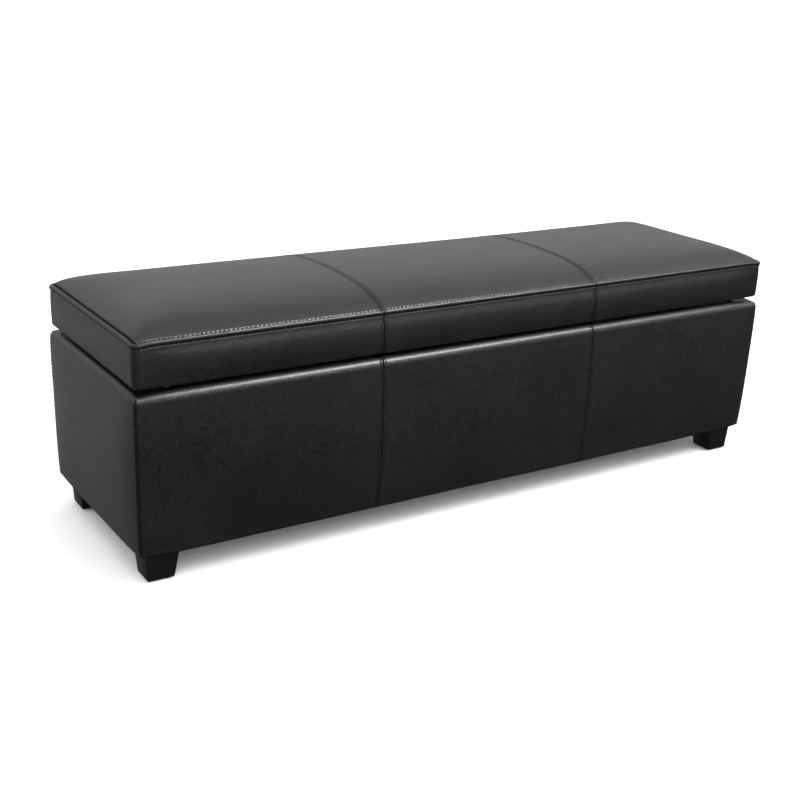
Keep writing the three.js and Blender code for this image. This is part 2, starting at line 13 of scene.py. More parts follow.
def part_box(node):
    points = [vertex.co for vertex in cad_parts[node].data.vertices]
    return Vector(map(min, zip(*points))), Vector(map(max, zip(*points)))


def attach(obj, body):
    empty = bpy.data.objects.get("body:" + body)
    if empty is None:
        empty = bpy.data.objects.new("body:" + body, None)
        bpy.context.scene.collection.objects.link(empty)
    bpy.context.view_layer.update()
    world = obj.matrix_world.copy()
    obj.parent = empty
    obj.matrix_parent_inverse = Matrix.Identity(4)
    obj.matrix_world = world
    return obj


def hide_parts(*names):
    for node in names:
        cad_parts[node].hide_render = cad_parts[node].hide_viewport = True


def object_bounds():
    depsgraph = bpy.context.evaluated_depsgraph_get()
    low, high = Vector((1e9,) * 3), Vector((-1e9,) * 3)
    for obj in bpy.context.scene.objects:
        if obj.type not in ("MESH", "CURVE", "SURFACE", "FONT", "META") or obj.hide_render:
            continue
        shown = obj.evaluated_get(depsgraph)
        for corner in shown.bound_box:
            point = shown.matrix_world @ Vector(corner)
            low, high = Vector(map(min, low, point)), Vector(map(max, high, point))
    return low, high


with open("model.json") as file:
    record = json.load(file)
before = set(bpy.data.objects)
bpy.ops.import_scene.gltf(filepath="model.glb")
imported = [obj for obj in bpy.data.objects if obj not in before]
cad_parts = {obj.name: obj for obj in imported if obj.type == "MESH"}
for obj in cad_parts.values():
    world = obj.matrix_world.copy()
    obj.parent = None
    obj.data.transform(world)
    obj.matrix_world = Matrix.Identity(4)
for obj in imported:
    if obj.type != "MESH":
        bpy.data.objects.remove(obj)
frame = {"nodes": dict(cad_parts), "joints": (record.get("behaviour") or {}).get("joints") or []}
CAD_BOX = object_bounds()

bl_info = {
    "name": "Storage Bench",
    "version": (1, 0, 0),
    "blender": (4, 5, 0),
    "location": "3D View > Sidebar > Bench",
    "description": "Upholstery, feet, hinge, stays and studio of a padded storage bench",
    "category": "Add Mesh",
}

MM = 0.001


# ------------------------------------------------------------------ places read from the frame


def low(node, axis):
    """The lowest coordinate of a node along an axis."""
    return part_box(node)[0][axis]


def high(node, axis):
    """The highest coordinate of a node along an axis."""
    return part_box(node)[1][axis]


def centre(node):
    """The middle of a node's box."""
    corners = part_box(node)
    return (Vector(corners[0]) + Vector(corners[1])) / 2


JOINTS = {joint["name"]: joint for joint in frame["joints"]}
HINGE = Vector(JOINTS["lid_hinge"]["pos_m"])
HALF_LENGTH = CAD_BOX[1][0]
HALF_DEPTH = (high("back_cover", 1) - low("front_cover_centre", 1)) / 2
MIDDLE_Y = (high("back_cover", 1) + low("front_cover_centre", 1)) / 2
SEAM_X = (high("top_cover_centre", 0) + low("top_cover_right", 0)) / 2
BASE_Z = low("front_cover_centre", 2) - 2 * MM
RIM_Z = high("front_cover_centre", 2)
LID_Z = low("lid_front_band_centre", 2)
RIDGE_Z = high("lid_front_band_centre", 2)
CROWN_Z = high("top_cover_centre", 2)
RIDGE_INSET = HALF_LENGTH - high("top_cover_right", 0)
MOUTH_INSET = HALF_LENGTH - high("box_lining", 0) + 1.6 * MM
ENDS = (("left", -1), ("right", 1))
PANELS = ("left", "centre", "right")
CORNERS = (
    ("front_left", -1, -1),
    ("front_right", 1, -1),
    ("back_left", -1, 1),
    ("back_right", 1, 1),
)


# ------------------------------------------------------------------ sizes and colours a user may change


def length(name, default, description):
    return FloatProperty(name=name, default=default, description=description, unit="LENGTH")


def colour(name, default, description):
    return FloatVectorProperty(name=name, default=default, description=description, subtype="COLOR", size=3)


class BenchSizes(bpy.types.PropertyGroup):
    """Sizes of the upholstery, stitches and puckers."""

    cover: length("Cover", 1.4 * MM, "Thickness of the leather cover")
    crown: FloatProperty(
        name="Crown",
        description="How much of the lid's crown the cushion keeps before it is inflated",
        default=0.84,
        subtype="FACTOR",
    )
    band_bulge: length("Band Bulge", 3.4 * MM, "How far the lid's band swells at half height")
    box_bulge: length("Box Bulge", 3.0 * MM, "How far the box's padded faces swell")
    welt: length("Edge Bead", 1.7 * MM, "Height of the raised bead along the lid's sewn edge")
    pucker: length("Pucker", 0.35 * MM, "Depth of the small folds beside the seams")
    stitch_pitch: length("Stitch Pitch", 7.4 * MM, "Distance from one stitch to the next")
    stitch_length: length("Stitch Length", 4.6 * MM, "Length of the thread that shows between two holes")
    thread: length("Thread", 0.75 * MM, "Radius of the sewing thread")
    staple_pitch: length("Staple Pitch", 38 * MM, "Distance between staples on the linings")
    hinge_screws: IntProperty(
        name="Hinge Screws",
        description="Screws in each leaf of the piano hinge",
        default=12,
        min=2,
    )


class BenchColours(bpy.types.PropertyGroup):
    """Base colours of the bench's materials."""

    leather: colour("Leather", (0.0042, 0.0042, 0.0045), "Colour of the leather")
    thread: colour("Thread", (0.004, 0.004, 0.004), "Colour of the sewing thread")
    foot: colour("Foot Stain", (0.0030, 0.0025, 0.0023), "Colour of the stained wooden feet")
    lining: colour("Lining", (0.020, 0.020, 0.022), "Colour of the lining cloth")
    board: colour("Board", (0.42, 0.29, 0.15), "Colour of the particle board")
    floor: colour("Floor", (0.9, 0.9, 0.9), "Colour of the studio floor")


# ------------------------------------------------------------------ shader maths


class Wire:
    """A shader output that can be used in Python arithmetic. Each operation adds its Math node."""

    def __init__(self, finish, socket):
        self.finish = finish
        self.socket = socket

    def _math(self, operation, first, second):
        return self.finish.add("ShaderNodeMath", {"operation": operation}, {0: first, 1: second})["Value"]

    def __add__(self, other):
        return self._math("ADD", self, other)

    def __radd__(self, other):
        return self._math("ADD", other, self)

    def __sub__(self, other):
        return self._math("SUBTRACT", self, other)

    def __rsub__(self, other):
        return self._math("SUBTRACT", other, self)

    def __mul__(self, other):
        return self._math("MULTIPLY", self, other)

    def __rmul__(self, other):
        return self._math("MULTIPLY", other, self)


class Added:
    """A node just added, whose outputs are read by name as wires."""

    def __init__(self, finish, node):
        self.finish = finish
        self.node = node

    def __getitem__(self, name):
        return Wire(self.finish, self.node.outputs[name])


class Finish:
    """A node tree being put together, for a material or a world."""

    def __init__(self, owner):
        owner.use_nodes = True
        self.tree = owner.node_tree
        self.tree.nodes.clear()

    def add(self, kind, settings=None, sockets=None):
        """Adds a node: its settings first, then the value or link of each socket."""
        node = self.tree.nodes.new(kind)
        for name, value in (settings or {}).items():
            setattr(node, name, value)
        for name, value in (sockets or {}).items():
            if isinstance(value, Wire):
                self.tree.links.new(value.socket, node.inputs[name])
            else:
                node.inputs[name].default_value = value
        return Added(self, node)

    def coordinates(self):
        return self.add("ShaderNodeTexCoord")["Object"]

    def stretched(self, vector, scale):
        return self.add("ShaderNodeMapping", None, {"Vector": vector, "Scale": scale})["Vector"]

    def cloud(self, vector, scale, detail=2, roughness=0.5):
        sockets = {"Vector": vector, "Scale": scale, "Detail": detail, "Roughness": roughness}
        return self.add("ShaderNodeTexNoise", None, sockets)["Fac"]

    def cells(self, vector, scale, feature="F1", randomness=1.0):
        sockets = {"Vector": vector, "Scale": scale, "Randomness": randomness}
        return self.add("ShaderNodeTexVoronoi", {"feature": feature}, sockets)["Distance"]

    def between(self, value, from_low, from_high, to_low=0.0, to_high=1.0):
        sockets = {
            "Value": value,
            "From Min": from_low,
            "From Max": from_high,
            "To Min": to_low,
            "To Max": to_high,
        }
        settings = {"interpolation_type": "SMOOTHSTEP"}
        return self.add("ShaderNodeMapRange", settings, sockets)["Result"]

    def blend(self, factor, first, second):
        """Mixes two colours."""
        sockets = {0: factor, 6: rgba(first), 7: rgba(second)}
        node = self.add("ShaderNodeMix", {"data_type": "RGBA"}, sockets).node
        return Wire(self, node.outputs[2])

    def bump(self, height, distance, strength=1.0, normal=None):
        sockets = {"Height": height, "Distance": distance, "Strength": strength}
        if normal is not None:
            sockets["Normal"] = normal
        return self.add("ShaderNodeBump", None, sockets)["Normal"]


def rgba(colour):
    return colour if isinstance(colour, Wire) else (*colour[:3], 1.0)


def surface(name, build):
    """A material whose principled sockets come from build, a function of its Finish."""
    material = bpy.data.materials.get(name)
    if material is None:
        material = bpy.data.materials.new(name)
        finish = Finish(material)
        shader = finish.add("ShaderNodeBsdfPrincipled", None, build(finish))
        finish.add("ShaderNodeOutputMaterial", None, {"Surface": shader["BSDF"]})
    return material


def scaled(colour, factor):
    return tuple(channel * factor for channel in colour[:3])


def leather():
    colours = bpy.context.scene.bench_colours

    def build(finish):
        place = finish.coordinates()
        wide = finish.cloud(place, 7, 2)
        soft = finish.cloud(place, 34, 3)
        pebble = finish.cells(place, 780, "SMOOTH_F1")
        crease = finish.cells(place, 520, "DISTANCE_TO_EDGE")
        fine = finish.cloud(place, 2200, 2)
        mottle = finish.cloud(place, 240, 3, 0.6)
        speck = finish.cloud(place, 420, 2)
        tone = finish.between(wide * 0.3 + mottle * 0.7 + speck * 0.5, 0.55, 0.95)
        colour = finish.blend(tone, scaled(colours.leather, 0.55), scaled(colours.leather, 2.1))
        # groove is 0 in the grain's creases and 1 between them. It drives the painted shade in the creases as
        # well as the roughness and the bump.
        groove = finish.between(crease, 0.0, 0.10)
        grain = groove * 0.55 + pebble * -0.5 + fine * 0.25 + mottle * 2.6
        slack = finish.bump(soft + wide * 1.6, 0.45 * MM)
        return {
            # Painted shade: the grain's creases get a darker base colour, standing in for the shade inside
            # them.
            "Base Color": finish.blend(groove, scaled(colours.leather, 0.6), colour),
            "Roughness": 0.29 + soft * 0.05 + wide * 0.05 + mottle * 0.05 + (1 - groove) * 0.05,
            "Specular IOR Level": 0.5,
            "Coat Weight": 0.15,
            "Coat Roughness": 0.22,
            "Normal": finish.bump(grain, 0.16 * MM, 0.8, slack),
        }

    return surface("imitation_leather", build)


def thread():
    colours = bpy.context.scene.bench_colours

    def build(finish):
        place = finish.coordinates()
        twist = finish.cloud(place, 1800, 2)
        return {
            "Base Color": finish.blend(twist, scaled(colours.thread, 0.6), scaled(colours.thread, 1.6)),
            "Roughness": 0.7 + twist * 0.2,
            "Specular IOR Level": 0.04,
            "Normal": finish.bump(twist, 0.08 * MM),
        }

    return surface("waxed_thread", build)


def stained_wood():
    colours = bpy.context.scene.bench_colours

    def build(finish):
        place = finish.coordinates()
        grain = finish.cloud(finish.stretched(place, (60, 60, 6)), 9, 5, 0.65)
        pores = finish.cloud(finish.stretched(place, (900, 900, 40)), 1, 3)
        rub = finish.cloud(place, 45, 3)
        vein = finish.between(grain, 0.35, 0.7)
        pore = finish.between(pores, 0.55, 0.75)
        return {
            "Base Color": finish.blend(vein, colours.foot, scaled(colours.foot, 2.0)),
            "Roughness": 0.34 + vein * 0.10 + pore * 0.16 + rub * 0.08,
            "Specular IOR Level": 0.3,
            "Coat Weight": 0.08,
            "Coat Roughness": 0.25,
            "Normal": finish.bump(vein * 0.4 - pore * 0.6, 0.12 * MM),
        }

    return surface("stained_wood", build)


def lining_cloth():
    colours = bpy.context.scene.bench_colours

    def build(finish):
        place = finish.coordinates()
        fibres = finish.cloud(finish.stretched(place, (1, 1.7, 1)), 900, 4, 0.7)
        dimples = finish.cells(place, 420, "F1", 0.15)
        dust = finish.cloud(place, 22, 3)
        tone = finish.between(fibres, 0.3, 0.7)
        return {
            "Base Color": finish.blend(tone, scaled(colours.lining, 0.7), scaled(colours.lining, 1.9)),
            "Roughness": 0.86 + dust * 0.1,
            "Sheen Weight": 0.25,
            "Sheen Roughness": 0.5,
            "Normal": finish.bump(dimples * 0.8 + fibres * 0.5, 0.15 * MM),
        }

    return surface("lining_cloth", build)


def felt():
    def build(finish):
        place = finish.coordinates()
        fibres = finish.cloud(place, 1500, 4, 0.8)
        return {
            "Base Color": finish.blend(fibres, (0.006, 0.006, 0.006), (0.03, 0.03, 0.03)),
            "Roughness": 0.95,
            "Sheen Weight": 0.4,
            "Normal": finish.bump(fibres, 0.3 * MM),
        }

    return surface("pressed_felt", build)


def particle_board():
    colours = bpy.context.scene.bench_colours

    def build(finish):
        place = finish.coordinates()
        chips = finish.cells(finish.stretched(place, (1, 1, 1.6)), 260, "F1")
        fine = finish.cloud(place, 700, 4, 0.7)
        tone = finish.between(chips * 0.6 + fine * 0.6, 0.3, 0.9)
        return {
            "Base Color": finish.blend(tone, scaled(colours.board, 0.62), scaled(colours.board, 1.25)),
            "Roughness": 0.78 + fine * 0.15,
            "Normal": finish.bump(chips + fine, 0.12 * MM),
        }

    return surface("particle_board", build)


def pine():
    def build(finish):
        place = finish.coordinates()
        rings = finish.cloud(finish.stretched(place, (1, 14, 14)), 7, 4, 0.6)
        fibre = finish.cloud(finish.stretched(place, (30, 600, 600)), 1, 3)
        tone = finish.between(rings, 0.35, 0.65)
        return {
            "Base Color": finish.blend(tone, (0.62, 0.42, 0.21), (0.42, 0.24, 0.10)),
            "Roughness": 0.7 + fibre * 0.15,
            "Normal": finish.bump(fibre, 0.1 * MM),
        }

    return surface("planed_pine", build)


def foam():
    def build(finish):
        place = finish.coordinates()
        pores = finish.cells(place, 900, "F1")
        wide = finish.cloud(place, 14, 3)
        return {
            "Base Color": finish.blend(wide, (0.66, 0.60, 0.42), (0.78, 0.72, 0.55)),
            "Roughness": 0.9 + pores * 0.1,
            "Normal": finish.bump(pores, 0.5 * MM),
        }

    return surface("cushion_foam", build)


def zinc_steel():
    def build(finish):
        place = finish.coordinates()
        brush = finish.cloud(finish.stretched(place, (14, 700, 700)), 1, 4, 0.6)
        spangle = finish.cells(place, 160, "F1")
        spots = finish.between(finish.cloud(place, 60, 4), 0.5, 0.75)
        bright = (0.62, 0.63, 0.64)
        return {
            "Base Color": finish.blend(spots * 0.5 + spangle * 0.3, bright, scaled(bright, 0.72)),
            "Metallic": 1.0,
            "Roughness": 0.27 + brush * 0.16 + spots * 0.14,
            "Normal": finish.bump(brush, 0.03 * MM),
        }

    return surface("zinc_plated_steel", build)


def rubber():
    def build(finish):
        place = finish.coordinates()
        fine = finish.cloud(place, 1400, 3)
        return {
            "Base Color": finish.blend(fine, (0.010, 0.010, 0.010), (0.022, 0.022, 0.022)),
            "Roughness": 0.72 + fine * 0.16,
            "Normal": finish.bump(fine, 0.05 * MM),
        }

    return surface("moulded_rubber", build)


# ------------------------------------------------------------------ outlines and spacing


def spread(start, end, step, dense=()):
    """Places about step apart from start to end, with the dense ones among them."""
    regular = np.linspace(start, end, max(2, round((end - start) / step) + 1))
    dense = np.array([place for place in dense if start + MM / 4 < place < end - MM / 4])
    if len(dense):
        near = np.abs(regular[:, None] - dense[None, :]).min(axis=1) < step * 0.55
        near[[0, -1]] = False
        regular = regular[~near]
    return np.unique(np.round(np.concatenate([regular, dense]), 7))


def quarter(centre_inset, centre_z, radius, start, steps=10):
    """A quarter round of inset and height, turned anticlockwise from a start angle in degrees."""
    angles = np.radians(start + np.linspace(0, 90, steps + 1))
    return [(centre_inset + radius * math.cos(a), centre_z + radius * math.sin(a)) for a in angles]


def smooth_step(value):
    value = np.clip(value, 0, 1)
    return value * value * (3 - 2 * value)


def hump(distance, width):
    """A smooth bump of height 1 that has faded out about two widths away."""
    return np.exp(-((distance / width) ** 2))


class Profile:
    """The section of a padded side from edge to edge: inset, height and how far it has drawn in."""

    def __init__(self, points, fall_x=0.0, fall_y=0.0, fall=None):
        self.inset, self.z = np.array(points).T
        steps = np.hypot(np.diff(self.inset), np.diff(self.z))
        self.along = np.concatenate([[0], np.cumsum(steps)])
        share = fall(self.z, self.inset) if fall else np.zeros(len(self.z))
        self.fall_x, self.fall_y = share * fall_x, share * fall_y

    def at(self, places):
        """Inset along the ends, inset along the front and back, height and plain inset at each place."""
        inset = np.interp(places, self.along, self.inset)
        return (
            inset + np.interp(places, self.along, self.fall_x),
            inset + np.interp(places, self.along, self.fall_y),
            np.interp(places, self.along, self.z),
            inset,
        )


LID_CORNER = 6.5 * MM
BOX_CORNER = 6.5 * MM
LID_ROUND = 4 * MM
BEAD_ROUND = 3.5 * MM
BEAD_REACH = 4.7 * MM
CROWN_RUN = 150 * MM
END_RUN = 115 * MM
RIM_ROUND = 14 * MM
MOUTH_ROUND = 3 * MM
BASE_ROUND = 6 * MM
COVER_FOLD = 36 * MM
COVER_RETURN = 22 * MM
END_FALL = 2.5 * MM
FRONT_FALL = 6.5 * MM
LID_GRID = 4.2 * MM
BOX_GRID = 4.6 * MM
LID_CLOTH = 12 * MM
BOX_CLOTH = 13 * MM
GLUE_GAP = 1 * MM
KNUCKLES = 23
LEAF = 1.2 * MM
CORNER_DROP = 3.0 * MM
CORNER_REACH = 20 * MM
UNEVEN_CROWN = 4 * MM
BACK_FALL = 2 * MM
STITCH_OFFSET = 5.0 * MM
RIDGE_STITCH = 9.6 * MM
RIDGE_TOP_STITCH = 1.8 * MM


def crown_rise(across=0.0, along=0.0):
    """Height of the lid's crown above its ridge, at two distances inside its seam, before it is inflated."""

    def share(distance, run=CROWN_RUN):
        return 1 - (1 - min((distance + BEAD_REACH) / run, 1)) ** 3

    first = share(0)
    sides = [max((value - first) / (1 - first), 1e-4) for value in (share(across, END_RUN), share(along))]
    inside = (sum(side**-3 for side in sides) / 2) ** (-1 / 3)
    rise = (CROWN_Z - RIDGE_Z) * (first + (1 - first) * inside)
    return rise * bpy.context.scene.bench_sizes.crown


def lid_profile():
    """The lid's side, from the seam on its top, over the bead and down the band, to the fold under it."""
    seam_z = RIDGE_Z + crown_rise()
    bead_z = seam_z - BEAD_ROUND * 0.94
    turn = np.radians(np.linspace(70, 180, 12))
    points = [
        (RIDGE_INSET + BEAD_ROUND * (1 + math.cos(a)), bead_z + BEAD_ROUND * math.sin(a)) for a in turn
    ]
    points += [(RIDGE_INSET, z) for z in np.linspace(bead_z, LID_Z + LID_ROUND, 20)[1:]]
    points += quarter(RIDGE_INSET + LID_ROUND, LID_Z + LID_ROUND, LID_ROUND, 180)[1:]
    points.append((COVER_FOLD, LID_Z))
    return Profile(points)


def box_profile():
    """The box's side, from inside its mouth, over the rim and down the face, to the fold under it."""

    def fall(z, inset):
        share = np.clip((RIM_Z - RIM_ROUND - z) / (RIM_Z - RIM_ROUND - BASE_Z - BASE_ROUND), 0, 1) ** 2
        return np.where(inset > MOUTH_INSET - 1e-6, 0, share)

    points = [(MOUTH_INSET, RIM_Z - COVER_RETURN)]
    mouth = quarter(MOUTH_INSET - MOUTH_ROUND, RIM_Z - MOUTH_ROUND, MOUTH_ROUND, 0, 5)
    points += mouth
    points += quarter(RIM_ROUND, RIM_Z - RIM_ROUND, RIM_ROUND, 90)
    down = np.linspace(RIM_Z - RIM_ROUND, BASE_Z + BASE_ROUND, 30)[1:]
    points += [(0.0, z) for z in down]
    points += quarter(BASE_ROUND, BASE_Z + BASE_ROUND, BASE_ROUND, 180)[1:]
    points.append((COVER_FOLD - 2 * MM, BASE_Z))
    return Profile(points, END_FALL, FRONT_FALL, fall)


# ------------------------------------------------------------------ padded skins


class Skin:
    """A padded cover as a grid: rings round the bench, level by level, and a top inside the lid's first."""

    def __init__(self, profile, corner, along_x, along_y, levels, topped):
        self.profile, self.corner, self.topped = profile, corner, topped
        self.xs, self.ys, self.levels = along_x, along_y, levels
        self.half = (along_x[-1], along_y[-1])
        self.stations = self._stations()
        self.count = len(self.stations)
        self.points, self.quads, self.panel = self._build()

    def _stations(self):
        """Side, place along it and column of each station, once round from the front left corner."""
        xs, ys = self.xs, self.ys
        loop = [("front", x) for x in xs[:-1]] + [("right", y) for y in ys[:-1]]
        loop += [("back", x) for x in xs[:0:-1]] + [("left", y) for y in ys[:0:-1]]
        return loop

    def _ring(self, inset_x, inset_y, z, radius):
        """One level's points round the bench."""
        straight = [self.half[k] - self.corner for k in (0, 1)]
        target = [self.half[0] - inset_x - radius, self.half[1] - inset_y - radius]
        hold = [SEAM_X + 60 * MM, 60 * MM]
        ring = []
        for side, place in self.stations:
            k = 0 if side in ("front", "back") else 1
            reach = abs(place)
            moved = reach
            if reach > hold[k]:
                stretch = (target[k] - hold[k]) / (straight[k] - hold[k])
                moved = hold[k] + (min(reach, straight[k]) - hold[k]) * stretch
            share = min(max((reach - straight[k]) / self.corner, 0), 1)
            along = math.copysign(moved + radius * share / math.sqrt(2), place)
            out = target[1 - k] + radius * math.sqrt(1 - share * share / 2)
            if side in ("front", "left"):
                out = -out
            ring.append((along, out, z) if k == 0 else (out, along, z))
        return ring

    def _crown_point(self, x, y):
        straight = [self.half[k] - self.corner for k in (0, 1)]
        share = [min(max((abs(v) - s) / self.corner, 0), 1) for v, s in zip((x, y), straight)]
        px = min(abs(x), straight[0]) + self.corner * share[0] * math.sqrt(1 - share[1] ** 2 / 2)
        py = min(abs(y), straight[1]) + self.corner * share[1] * math.sqrt(1 - share[0] ** 2 / 2)
        rise = crown_rise(self.half[0] - px, self.half[1] - py)
        return math.copysign(px, x), math.copysign(py, y), RIDGE_Z + rise

    def _build(self):
        inset_x, inset_y, z, inset = self.profile.at(self.levels)
        first = self.profile.inset[0] if self.topped else 0
        points = []
        for k in range(len(self.levels)):
            radius = max(self.corner - (inset[k] - first), 1.5 * MM)
            points += self._ring(inset_x[k] - first, inset_y[k] - first, z[k], radius)
        quads, panel = [], []
        for k in range(len(self.levels) - 1):
            for i in range(self.count):
                j = (i + 1) % self.count
                a, b = k * self.count, (k + 1) * self.count
                quads.append((a + i, b + i, b + j, a + j))
                panel.append(self._panel_of(i))
        if self.topped:
            self._add_top(points, quads, panel)
        points = np.array(points)
        points[:, 1] += MIDDLE_Y
        return points, np.array(quads), np.array(panel)

    def _panel_of(self, i):
        side, place = self.stations[i]
        if side != "front":
            return side
        index = int(np.searchsorted(self.xs, place, side="right"))
        middle = (place + self.xs[min(index, len(self.xs) - 1)]) / 2
        return "front_" + third_of(middle)

    def _add_top(self, points, quads, panel):
        nx, ny = len(self.xs), len(self.ys)
        self.top = np.zeros((ny, nx), int)
        edge = {}
        for i, (side, place) in enumerate(self.stations):
            column = int(np.argmin(np.abs((self.xs if side in ("front", "back") else self.ys) - place)))
            edge[{
                "front": (0, column),
                "right": (column, nx - 1),
                "back": (ny - 1, column),
                "left": (column, 0),
            }[side]] = i
        for j in range(ny):
            for i in range(nx):
                if (j, i) in edge:
                    self.top[j, i] = edge[(j, i)]
                else:
                    self.top[j, i] = len(points)
                    points.append(self._crown_point(self.xs[i], self.ys[j]))
        for j in range(ny - 1):
            for i in range(nx - 1):
                t = self.top
                quads.append((t[j, i], t[j, i + 1], t[j + 1, i + 1], t[j + 1, i]))
                panel.append("top_" + third_of((self.xs[i] + self.xs[i + 1]) / 2))

    def side_rows(self, side):
        """The index of every point on a side: one row per level, one column per place along it."""
        loop = [i for i, (name, _) in enumerate(self.stations) if name == side]
        loop.append((loop[-1] + 1) % self.count)
        if side in ("back", "left"):
            loop = loop[::-1]
        return np.array([[k * self.count + i for i in loop] for k in range(len(self.levels))])

    def normals(self, points):
        a, b, c, d = (points[self.quads[:, k]] for k in range(4))
        face = np.cross(c - a, d - b)
        total = np.zeros_like(points)
        for k in range(4):
            np.add.at(total, self.quads[:, k], face)
        return total / np.maximum(np.linalg.norm(total, axis=1, keepdims=True), 1e-12)


def third_of(x):
    if x < -SEAM_X:
        return "left"
    return "right" if x > SEAM_X else "centre"


def spline_matrix(coarse, fine):
    """The matrix from values at coarse places to a natural cubic spline's values at fine ones."""
    n = len(coarse)
    gaps = np.diff(coarse)
    system, right = np.eye(n), np.zeros((n, n))
    for i in range(1, n - 1):
        system[i, i - 1 : i + 2] = gaps[i - 1], 2 * (gaps[i - 1] + gaps[i]), gaps[i]
        right[i, i - 1] = 6 / gaps[i - 1]
        right[i, i] = -6 / gaps[i - 1] - 6 / gaps[i]
        right[i, i + 1] = 6 / gaps[i]
    curvature = np.linalg.solve(system, right)
    result = np.zeros((len(fine), n))
    for row, place in enumerate(fine):
        i = int(np.clip(np.searchsorted(coarse, place) - 1, 0, n - 2))
        gap = gaps[i]
        u, v = (coarse[i + 1] - place) / gap, (place - coarse[i]) / gap
        result[row, i] += u
        result[row, i + 1] += v
        result[row] += ((u**3 - u) * curvature[i] + (v**3 - v) * curvature[i + 1]) * gap * gap / 6
    return result


COVER_CLOTH = {
    "quality": 6,
    "mass": 0.35,
    "tension_stiffness": 18,
    "compression_stiffness": 18,
    "shear_stiffness": 6,
    "bending_stiffness": 1.2,
    "air_damping": 4,
    "uniform_pressure_force": 4,
}


def inflate(name, points, quads, sewn, most, frames=22):
    """Blows a sewn cover up with Blender's cloth and gives how far each point moved, at most so far."""
    mesh = bpy.data.meshes.new(name)
    mesh.from_pydata([tuple(p) for p in points], [], [tuple(int(i) for i in q) for q in quads])
    cover = bpy.data.objects.new(name, mesh)
    scene = bpy.context.scene
    scene.collection.objects.link(cover)
    group = cover.vertex_groups.new(name="sewn")
    for weight in np.unique(sewn[sewn > 0]):
        group.add([int(i) for i in np.flatnonzero(sewn == weight)], float(weight), "REPLACE")
    cloth = cover.modifiers.new("cover", "CLOTH")
    for setting, value in COVER_CLOTH.items():
        setattr(cloth.settings, setting, value)
    cloth.settings.vertex_group_mass = group.name
    cloth.settings.use_pressure = True
    cloth.settings.effector_weights.gravity = 0
    cloth.collision_settings.use_collision = False
    cloth.point_cache.frame_start = 1
    cloth.point_cache.frame_end = frames
    for number in range(1, frames + 1):
        scene.frame_set(number)
    evaluated = cover.evaluated_get(bpy.context.evaluated_depsgraph_get())
    moved = np.zeros(len(mesh.vertices) * 3, np.float32)
    evaluated.data.vertices.foreach_get("co", moved)
    move = moved.reshape(-1, 3).astype(float) - points
    scene.frame_set(1)
    bpy.data.objects.remove(cover)
    bpy.data.meshes.remove(mesh)
    length = np.linalg.norm(move, axis=1, keepdims=True)
    return move * np.minimum(1, most / np.maximum(length, 1e-9))


def around(side, along, half):
    """The running distance round the bench, from the front left corner, of a place on a side."""
    start = {"front": 0, "right": 2 * half[0], "back": 2 * sum(half), "left": 4 * half[0] + 2 * half[1]}
    reach = half[0] if side in ("front", "back") else half[1]
    return start[side] + reach + (along if side in ("front", "right") else -along)


def carried(move, coarse, fine):
    """How the points of a fine skin move, when those of a coarse one with the same shape move so."""
    down = spline_matrix(coarse.levels, fine.levels)
    whole = 4 * sum(coarse.half)
    places = np.array([around(*station, coarse.half) for station in coarse.stations])
    padded = np.concatenate([places[-4:] - whole, places, places[:4] + whole])
    turn = spline_matrix(padded, np.array([around(*station, fine.half) for station in fine.stations]))
    rings = move[: coarse.count * len(coarse.levels)].reshape(len(coarse.levels), coarse.count, 3)
    rings = np.concatenate([rings[:, -4:], rings, rings[:, :4]], axis=1)
    result = np.zeros_like(fine.points)
    ring_points = np.einsum("ab,bcd,ec->aed", down, rings, turn, optimize=True).reshape(-1, 3)
    result[: len(ring_points)] = ring_points
    if fine.topped:
        across, along = spline_matrix(coarse.ys, fine.ys), spline_matrix(coarse.xs, fine.xs)
        top = np.einsum("ab,bcd,ec->aed", across, move[coarse.top], along, optimize=True)
        result[fine.top[1:-1, 1:-1]] = top[1:-1, 1:-1]
    return result


def lid_grid(step, dense):
    """The lid's skin with points about step apart, and closer by the seams where it is dense."""
    profile = lid_profile()
    half = (HALF_LENGTH - profile.inset[0], HALF_DEPTH - profile.inset[0])
    xs = spread(-half[0], half[0], step, seam_places(half[0]) if dense else ())
    ys = spread(-half[1], half[1], step, corner_places(half[1]) + [0.0] if dense else ())
    over_bead = (0.7, 1.5, 2.4, 3.4, 4.5, 5.7, 7, 8.2, 8.9, 9.6, 10.3, 11, 12.4, 14.5, 17)
    bead = [MM * place for place in over_bead]
    levels = spread(0, profile.along[-1], step, bead if dense else ())
    return Skin(profile, LID_CORNER, xs, ys, levels, True)


def box_grid(step, dense):
    """The box's skin with points about step apart, and closer by the seams where it is dense."""
    profile = box_profile()
    xs = spread(-HALF_LENGTH, HALF_LENGTH, step, seam_places(HALF_LENGTH) if dense else ())
    ys = spread(-HALF_DEPTH, HALF_DEPTH, step, corner_places(HALF_DEPTH) + [0.0] if dense else ())
    levels = spread(0, profile.along[-1], step, rounds_of(profile) if dense else ())
    return Skin(profile, BOX_CORNER, xs, ys, levels, False)


def rounds_of(profile):
    """The places on a profile where it turns."""
    lean = np.abs(np.diff(np.unwrap(np.arctan2(np.diff(profile.z), np.diff(profile.inset)))))
    return [float(place) for place, turn in zip(profile.along[1:], lean) if turn > 0.02]


def seam_places(half):
    """Columns close to the two cross seams and the corners."""
    offsets = [MM * offset for offset in (0.7, 1.5, 2.6, 4.0, 5.0, 6.0, 7.4, 9.6, 12.5)]
    places = [side * SEAM_X + sign * offset for side in (-1, 1) for offset in offsets for sign in (-1, 1)]
    return places + [-SEAM_X, SEAM_X] + corner_places(half)


def corner_places(half):
    offsets = [MM * offset for offset in (0.8, 1.8, 3, 4.0, 5.0, 6.0, 7.4, 9.4, 12)]
    return [side * (half - offset) for side in (-1, 1) for offset in offsets]


